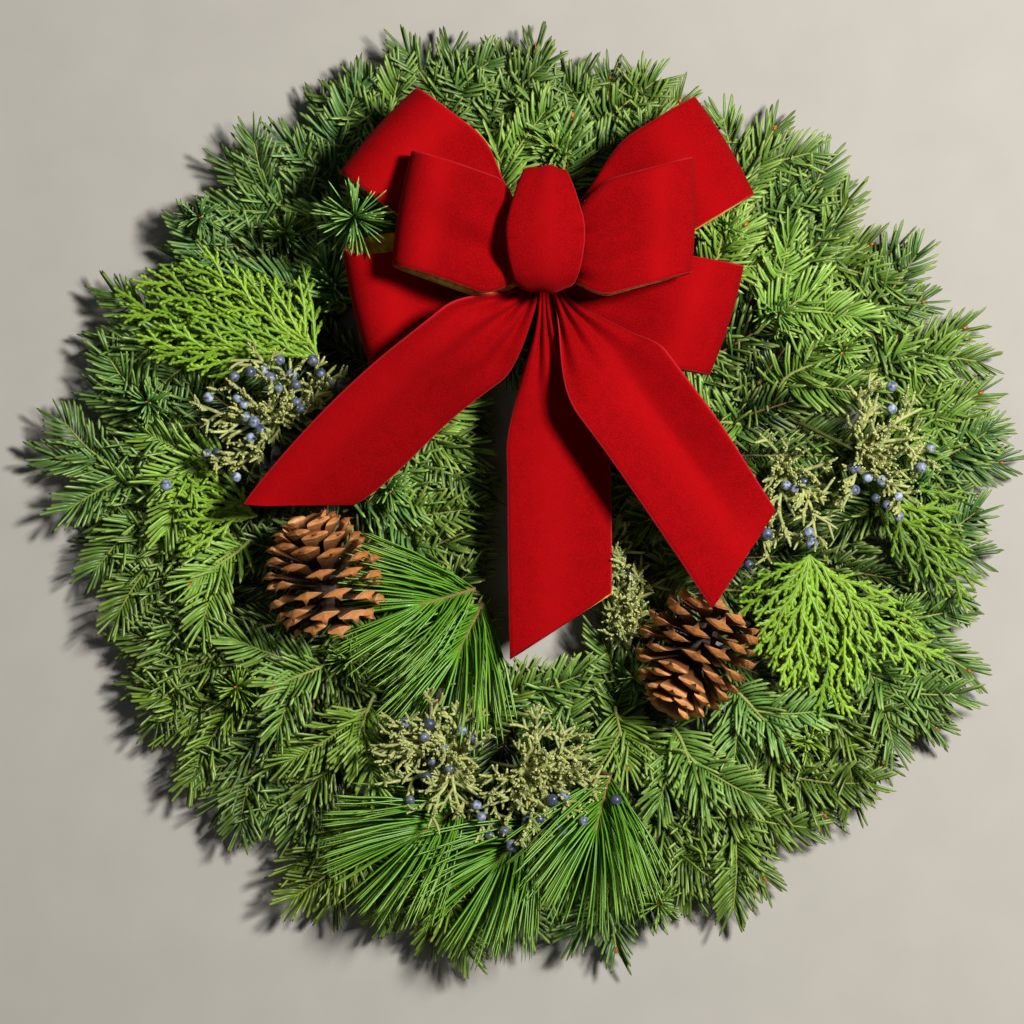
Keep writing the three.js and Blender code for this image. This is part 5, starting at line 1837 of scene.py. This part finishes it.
    def _add_core(self, piece: Piece, centre: Vector, axis: Vector) -> None:
        """Adds the dark core that the scales leave, a closed spindle.

        Args:
            piece: The cone.
            centre: The middle of the cone.
            axis: The way it points.
        """
        built = bmesh.new()
        built.from_mesh(piece.data)
        wood = next(k for k, material in enumerate(piece.data.materials) if material)
        before = len(built.verts)
        bmesh.ops.create_uvsphere(built, u_segments=12, v_segments=8, radius=1.0)
        built.verts.ensure_lookup_table()
        turn = up(1).rotation_difference(axis).to_matrix()
        girth = self.core_radius * 1.15
        for vertex in built.verts[before:]:
            for side in vertex.link_faces:
                side.material_index = wood
            raw = vertex.co
            sized = Vector((raw.x * girth, raw.y * girth, raw.z * self.half_height * 0.95 - 2))
            vertex.co = self.greens.middle + (centre + turn @ sized) * MM
        built.to_mesh(piece.data)
        built.free()


# ---------------------------------------------------------------- the bow

Edge = tuple[Vector, Vector]
OnRibbon = Callable[[float, float], float]


def level(step: int) -> float:
    """The height of a layer of ribbon under the tie wire."""
    return LOWEST_LEVEL + LEVEL_STEP * step


def ease(value: float, low: float, high: float) -> float:
    """A smooth step from 0 at low to 1 at high."""
    share = min(max((value - low) / (high - low), 0.0), 1.0)
    return share * share * (3 - 2 * share)


def bell(value: float, middle: float, width: float) -> float:
    """A smooth bump, 1 at the middle and near 0 past its width."""
    return exp(-(((value - middle) / width) ** 2))


def path_length(path: list[Vector]) -> float:
    """The length of a path in millimetres."""
    return sum((b - a).length for a, b in zip(path, path[1:]))


@dataclass(frozen=True)
class LoopPlan:
    """A ribbon loop: its node, where it leaves the tie, its far corners and its two runs' heights.

    Creases are as deep as the number says, and drawn from the seed. The gape is how far the
    lower run stands out past the upper one, so that the gold inside shows. The loop opens from
    its gathers over the given share of its length.
    """

    node: str
    anchor_y: float
    corners: tuple[Spot, Spot]
    lower: Place
    upper: Place
    creases: float
    seed: int
    gape: float = 0.0
    opens: float = 0.47


@dataclass(frozen=True)
class TailPlan:
    """A ribbon tail: its node, its layer at the tie, its route and its slanted end.

    The tilt turns it about its length, in degrees. The cut gives the left and right corner of
    its end. A long crease, the ridge, stands at a share of its width, and past it the side may
    rise, turned from the light. Its edges curl down, and it widens between two lengths.
    """

    node: str
    step: int
    start_x: float
    width: float
    tilt: float
    route: tuple[Place, ...]
    cut: tuple[Place, Place]
    ridge: float
    ridge_height: float
    curl: float
    widens: Spot
    turned: float = 0.0


# The heights of the two runs of a loop, for each pair of loops
LOW_RUNS = ((level(0), 63.5, 62), (level(3), 78, 86))
BACK_RUNS = ((level(1), 66, 66), (level(2), 77, 94))
FRONT_RUNS = ((level(7), 95, 95), (level(8), 115, 120))


@dataclass
class VelvetBow:
    """The bow: six gathered loops, a centre loop over the tie wire and three cut tails.

    Lengths are in millimetres. The ribbon is 70 mm wide, red velvet outside and gold inside.
    """

    greens: Greens
    velvet: Material
    lame: Material
    thickness: float = 1.1
    pinch: float = 22.0
    gather: float = 7.0
    lead: float = 7.0
    cut_share: float = 0.94
    knot_width: float = 38.0
    across: int = 24
    along: int = 92
    loops: tuple[LoopPlan, ...] = (
        LoopPlan("bow_loop_lower_left", 130, ((-110, 148), (-94, 78)), *LOW_RUNS, 2.6, 1, 13.0),
        LoopPlan("bow_loop_lower_right", 130, ((134, 145), (112, 75)), *LOW_RUNS, 2.6, 2),
        LoopPlan("bow_loop_back_left", 151, ((-65, 253), (-114, 199)), *BACK_RUNS, 1.8, 3, 0.0, 0.68),
        LoopPlan("bow_loop_back_right", 151, ((103, 247), (140, 186)), *BACK_RUNS, 1.8, 4, 0.0, 0.68),
        LoopPlan("bow_loop_front_left", 148, ((-68, 214), (-80, 143)), *FRONT_RUNS, 2.6, 5, -3.0, 0.4),
        LoopPlan("bow_loop_front_right", 148, ((101, 210), (100, 135)), *FRONT_RUNS, 2.4, 6),
    )
    # Along, height and half width of the centre loop, round from below the tie and back to it
    knot: tuple[Place, ...] = (
        (137.1, level(9), 3), (132, 96, 10), (128.5, 111, 18), (135, 126, 22.5), (158, 133, 23.5), (184, 130, 18.5),
        (199, 121, 12), (188, 117, 13), (160, 112, 12), (147, 98, 7), (142.9, level(9) + 2, 3),
    )
    tails: tuple[TailPlan, ...] = (
        TailPlan("bow_tail_left", 6, 8, 56, 38, ((-2, 121, 87), (-34, 94, 100), (-72, 60, 93)),
                 ((-171, -4, 88), (-106, -1, 61)), 0.3, 1.5, 3.0, (4, 66)),
        TailPlan("bow_tail_middle", 5, 12, 64, 8, ((12, 118, 80), (14, 88, 84), (20, 40, 72)),
                 ((-9, -98, 66), (53, -57, 62)), 0.5, 1.2, 1.6, (14, 112)),
        TailPlan("bow_tail_right", 6, 16, 63, 18, ((24, 119, 87), (46, 85, 96), (79, 42, 92)),
                 ((114, -66, 94), (153, -6, 74)), 0.64, -3.0, 1.8, (10, 84), 14.0),
    )

    def build(self) -> None:
        """Builds every length of ribbon."""
        for plan in self.loops:
            self._build_loop(plan)
        self._build_knot()
        for plan in self.tails:
            self._build_tail(plan)

    def _loop_profile(self, plan: LoopPlan, length: float) -> list[Vector]:
        """The middle line of a loop: out from the tie low, round its far edge and back high.

        Args:
            plan: The loop.
            length: How far its edge is from the tie.

        Returns:
            The places, with x away from the tie and z the height.
        """
        start = TIE_RADIUS + 0.5
        (low_start, low_middle, low_end), (high_start, high_middle, high_end) = plan.lower, plan.upper
        middle = (low_end + high_end) / 2
        radius = (high_end - low_end) / 2
        turns = [radians(angle) for angle in (-60, -30, 0, 30, 60)]
        bend = [(length - radius * (1 - cos(turn)), middle + radius * sin(turn)) for turn in turns]
        profile = [
            (start, low_start), (start + self.lead, low_start), (0.3 * length, low_middle),
            (length - 1.35 * radius, low_end), *bend, (length - 1.5 * radius, high_end),
            (0.25 * length, high_middle), (start + self.lead, high_start), (start, high_start),
        ]
        return smooth_path([Vector((s, 0, z)) for s, z in profile], self.along + 1)

    def _build_loop(self, plan: LoopPlan) -> None:
        """Builds one loop, which opens from its gathers to the ribbon's full width.

        Args:
            plan: The loop's plan.
        """
        first, second = (Vector((*corner, 0.0)) for corner in plan.corners)
        anchor = Vector((TIE_X, plan.anchor_y, 0.0))
        outward = (first + second) / 2 - anchor
        length = outward.length
        outward.normalize()
        far_across = (second - first).normalized()
        tie_across = Vector((0, copysign(1, far_across.y), 0))
        run = self._loop_profile(plan, length)
        edges: list[Edge] = []
        for number, point in enumerate(run):
            share = ease(point.x, 0, plan.opens * length)
            width = self.pinch + (RIBBON_WIDTH - self.pinch) * share
            across = tie_across.lerp(far_across, share).normalized()
            centre = anchor + outward * point.x + up(point.z)
            centre -= far_across * plan.gape * share * (1 - ease(number / self.along, 0.38, 0.62))
            edges.append((centre - across * width / 2, centre + across * width / 2))
        rng = random.Random(plan.seed)
        fine, fine_start, broad, broad_start = (
            rng.uniform(low, high) for low, high in ((2.2, 3.4), (0, 6.3), (1.0, 1.7), (0, 6.3))
        )

        def reach_at(v: float) -> float:
            """How far from the tie a place along the ribbon is, where 1 is the far edge."""
            return run[round(v * self.along)].x / length

        def fold(u: float, v: float) -> float:
            """How far the ribbon stands out at a place across (u) and along (v) it.

            Args:
                u: The place across.
                v: The place along.

            Returns:
                The distance, in millimetres.
            """
            reach = reach_at(v)
            near = ease(reach, 0.04, 0.14) * (1 - ease(reach, 0.2, 0.8))
            pleats = 1.7 * near * sin(tau * fine * u + fine_start + 1.2 * reach)
            soft = plan.creases * ease(reach, 0.1, 0.35) * (1 - ease(reach, 0.55, 1.0))
            creases = soft * sin(tau * broad * u + broad_start - 2.0 * reach)
            crown = 2.0 * ease(reach, 0.3, 0.8) * (1 - (2 * u - 1) ** 2)
            return pleats + creases + crown

        def highlight_band(u: float, v: float) -> float:
            """Painted highlight: a lighter band where the ribbon starts to bend over."""
            return bell(reach_at(v), 0.8, 0.1) * ease(v, 0.4, 0.6)

        piece = self._ribbon(plan.node.replace("bow_", "velvet_"), edges, fold, highlight_band, 0.78)
        self._declare(piece, plan.node, path_length(run))

    def _build_knot(self) -> None:
        """Builds the short centre loop that stands over the tie."""
        middles = smooth_path([Vector((TIE_X, y, z)) for y, z, _ in self.knot], self.along + 1)
        halves = smooth_path([Vector((half, k * 10.0, 0)) for k, (_, _, half) in enumerate(self.knot)], self.along + 1)
        edges = [(m - Vector((h.x, 0, 0)), m + Vector((h.x, 0, 0))) for m, h in zip(middles, halves)]

        def fold(u: float, v: float) -> float:
            """Soft pleats where the loop is pinched, and a crown where it stands.

            Args:
                u: The place across.
                v: The place along.

            Returns:
                How far the ribbon stands out, in millimetres.
            """
            open_share = sin(pi * min(v * 1.35, 1.0)) ** 0.8
            pleats = 0.9 * (1 - open_share) * sin(tau * 2 * u)
            creases = 0.5 * sin(pi * 3.2 * u + 0.6 + 2 * v) * (0.3 + 0.7 * open_share)
            return pleats + creases + 4.2 * open_share * (1 - (2 * u - 1) ** 2)

        def highlight_band(u: float, v: float) -> float:
            """Painted highlight: a lighter band along the crown."""
            return 0.8 * bell(u, 0.52, 0.16)

        piece = self._ribbon("velvet_centre_loop", edges, fold, highlight_band, 0.45)
        # The loop is a length of the same ribbon with both edges folded under, so it is narrower
        length = path_length(middles)
        self._declare(piece, "bow_centre_loop", length, width=self.knot_width)

    def _build_tail(self, plan: TailPlan) -> None:
        """Builds a tail that widens from its gathers and ends in a slanted cut.

        Args:
            plan: The tail's plan.
        """
        cut_left, cut_right = (Vector(place) for place in plan.cut)
        top = Vector((plan.start_x, TIE_Y - TIE_RADIUS - 0.5, level(plan.step)))
        line = smooth_path([top, *map(Vector, plan.route), (cut_left + cut_right) / 2], self.along + 1)
        length = path_length(line)
        edges: list[Edge] = []
        for k, point in enumerate(line):
            share = k / self.along
            ahead = line[min(k + 1, self.along)] - line[max(k - 1, 0)]
            square = Vector((ahead.y, -ahead.x, 0)).normalized()
            if square.x < 0:
                square.negate()
            opened = ease(share * length, *plan.widens)
            half = (self.gather + (plan.width - self.gather) * opened) / 2
            rise = up(half * tan(radians(plan.tilt * opened)))
            left, right = point - square * half + rise, point + square * half - rise
            slant = ease(share, 0.55, 1) ** 3
            edges.append((left.lerp(cut_left, slant), right.lerp(cut_right, slant)))

        def fold(u: float, v: float) -> float:
            """Fine pleats at the gathers, a long crease and edges that curl down.

            Args:
                u: The place across.
                v: The place along.

            Returns:
                How far the ribbon stands out, in millimetres.
            """
            distance = v * length
            near = ease(distance, 4, 22) * (1 - ease(distance, 30, 105))
            pleats = 2.6 * near * sin(tau * 3.1 * u + plan.start_x)
            fade = ease(distance, 25, 70) * (1 - ease(v, 0.6, 0.95))
            ridge = plan.ridge_height * fade * max(0.0, 1 - abs(u - plan.ridge) / 0.3)
            wave = 1.5 * ease(distance, 50, 110) * sin(tau * (1.1 * v + 0.35 * u) + plan.step)
            curl = -plan.curl * ease(distance, 60, 120) * (2 * u - 1) ** 4
            away = ease(distance, 60, 84) * (1 - ease(v, 0.62, 1.0)) * max(0.0, u - plan.ridge) / (1 - plan.ridge)
            return pleats + ridge + wave + curl + plan.turned * away

        def highlight_band(u: float, v: float) -> float:
            """Painted highlight: a lighter band down the middle of the tail."""
            return 0.7 * bell(u, plan.ridge - 0.08, 0.2) * ease(v, 0.15, 0.45)

        piece = self._ribbon(plan.node.replace("bow_", "velvet_"), edges, fold, highlight_band, 0.5)
        sides = [path_length([edge[side] for edge in edges]) for side in (0, 1)]
        self._declare(piece, plan.node, max(sides))

    def _ribbon(
        self, name: str, edges: list[Edge], fold: OnRibbon, highlight_band: OnRibbon, face_share: float
    ) -> Piece:
        """Makes a length of ribbon.

        Args:
            name: The piece's name.
            edges: Its left and right edge, row by row.
            fold: How far it stands out at a place across and along it.
            highlight_band: How much painted highlight it gets at a place across and along it, from 0 to 1.
            face_share: The place along it where the velvet faces up.

        Returns:
            The piece, velvet on one side and gold on the other.
        """
        last = len(edges) - 1
        middles = [(left + right) / 2 for left, right in edges]
        normals = []
        for j, (left, right) in enumerate(edges):
            ahead = middles[min(j + 1, last)] - middles[max(j - 1, 0)]
            normals.append(ahead.cross(right - left).normalized())
        sign = copysign(1, normals[round(face_share * last)].z)
        points, uvs, pressed, travelled = [], [], [], 0.0
        for j, (left, right) in enumerate(edges):
            if j:
                travelled += (middles[j] - middles[j - 1]).length * MM
            for k in range(self.across + 1):
                u, v = k / self.across, j / last
                out = normals[j] * sign * fold(u, v)
                points.append(self.greens.middle + (left.lerp(right, u) + out) * MM)
                uvs.append((u, travelled))
                pressed.append(highlight_band(u, v))
        faces = []
        row = self.across + 1
        for j in range(last):
            for a in range(j * row, j * row + self.across):
                ring = (a, a + row, a + row + 1, a + 1)
                faces.append(ring if sign > 0 else ring[::-1])
        piece = make_object(name, points, faces, {"pressed": pressed})
        mesh = piece.data
        layer = mesh.uv_layers.new(name="ribbon")
        for loop in mesh.loops:
            layer.data[loop.index].uv = uvs[loop.vertex_index]
        for material in (self.velvet, self.lame):
            mesh.materials.append(material)
        wall = piece.modifiers.new("wall", "SOLIDIFY")
        wall.thickness = self.thickness * MM
        wall.offset = 0.0
        wall.material_offset = 1
        wall.material_offset_rim = 0
        return piece

    def _declare(
        self, piece: Piece, node: str, length: float,
        width: float = RIBBON_WIDTH,
    ) -> None:
        """Ties a length of ribbon to the body in place of the CAD node that it stands for.

        Args:
            piece: The ribbon.
            node: The CAD node that it stands for.
            length: Its flat length, in millimetres; not used.
            width: Its flat width, in millimetres; not used.
        """
        self.greens.finish(piece, "velvet", node)


# ---------------------------------------------------------------- the wires and the studio


@dataclass
class Frame:
    """The wire ring with its clamps, the cone picks and the tie wire, which keep their CAD shape."""

    enamelled: WireFinish = WireFinish("green_enamelled_wire", "33503a", 0.0, 0.4)
    drawn: WireFinish = WireFinish("drawn_steel_pick", "8b8983", 1.0, 0.42)
    florist: WireFinish = WireFinish("florist_tie_wire", "3f5a3d", 0.0, 0.45)

    def dress(self) -> None:
        """Gives each wire its finish through its own slots."""
        ring, pick, tie = (finish.build() for finish in (self.enamelled, self.drawn, self.florist))
        finishes = {
            "wire_ring": ring, "pine_cone_left_wire": pick, "pine_cone_right_wire": pick, "bow_tie_wire": tie,
        }
        for node, material in finishes.items():
            for slot in bpy.data.objects[node].material_slots:
                slot.link = "OBJECT"
                slot.material = material
            LOG.info("%s: %s", node, material.name)


@dataclass
class Studio:
    """The camera over the wreath, soft studio light and a pale floor.

    Lengths are in millimetres from the layout's origin.
    """

    middle: Vector
    view: Spot = (-8.06, -7.44)
    plane: float = 40.0
    distance: float = 3000.0
    seen_width: float = 634.9
    sensor: float = 36.0
    farthest: float = 50000.0
    aim_height: float = 40.0
    floor_half: float = 4000.0
    floor_height: float = -0.4
    sky: Colour = (0.93, 0.95, 1.0, 1.0)
    sky_light: float = 0.028

    def build(self) -> None:
        """Places the camera, the lights and the floor."""
        self._place_camera()
        self._place_lamp("key", (1050, 480, 1900), 340, 78.0, (1.0, 0.97, 0.93))
        self._place_lamp("fill", (-900, -700, 2100), 1800, 2.0, (0.95, 0.97, 1.0))
        self._place_floor()
        world = bpy.data.worlds.new("studio")
        world.use_nodes = True
        background = world.node_tree.nodes["Background"].inputs
        background["Color"].default_value = self.sky
        background["Strength"].default_value = self.sky_light
        bpy.context.scene.world = world
        bpy.context.scene.view_settings.view_transform = "Standard"

    def _place_camera(self) -> None:
        """A long lens that looks straight down."""
        data = bpy.data.cameras.new("camera")
        data.sensor_width = self.sensor
        data.lens = self.sensor * (self.distance - self.plane) / self.seen_width
        data.clip_end = self.farthest * MM
        made = place_object("camera", data)
        made.location = self.middle + Vector((*self.view, self.distance)) * MM
        bpy.context.scene.camera = made

    def _place_lamp(self, name: str, place: Place, size: float, power: float, colour: Place) -> None:
        """A square lamp that points at the wreath.

        Args:
            name: The lamp's name.
            place: Where it stands, in metres.
            size: Its side, in metres.
            power: Its power, in watts.
            colour: The colour of its light.
        """
        data = bpy.data.lights.new(name, "AREA")
        data.size = size * MM
        data.energy = power
        data.color = colour
        made = place_object(name, data)
        made.location = self.middle + Vector(place) * MM
        aim = (self.middle + up(self.aim_height * MM)) - made.location
        made.rotation_euler = aim.to_track_quat("-Z", "Y").to_euler()

    def _place_floor(self) -> None:
        """A wide flat floor just under the ring."""
        half, height = self.floor_half * MM, self.floor_height * MM
        corners = [(x * half, y * half, height) for x, y in ((-1, -1), (1, -1), (1, 1), (-1, 1))]
        floor = make_object("studio_floor", corners, [(0, 1, 2, 3)], smooth=False)
        floor.data.materials.append(FloorFinish().build())


def main() -> None:
    """Builds the wreath's pieces in order."""
    logging.basicConfig(level=logging.INFO, format="%(message)s")
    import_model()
    low, high = (Vector(corner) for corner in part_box("wire_ring"))
    middle = Vector(((low.x + high.x) / 2, (low.y + high.y) / 2, 0.0))
    Studio(middle).build()
    twig_bark = BarkFinish("young_green_bark", "8c9a4a", "5a4426").build()
    stem_bark = BarkFinish("brown_shoot_bark", "8a7040", "5c3d22").build()
    greens = Greens(middle, GreenTree(), twig_bark, stem_bark)
    Frame().dress()
    VelvetBow(greens, VelvetFinish().build(), LameFinish().build()).build()
    for kind in (PineCones, FirBunches, CedarFans, JuniperSprigs, PineTufts):
        kind(greens).build()
    LOG.info("all pieces: %d triangles", greens.faces)


if __name__ == "__main__":
    main()
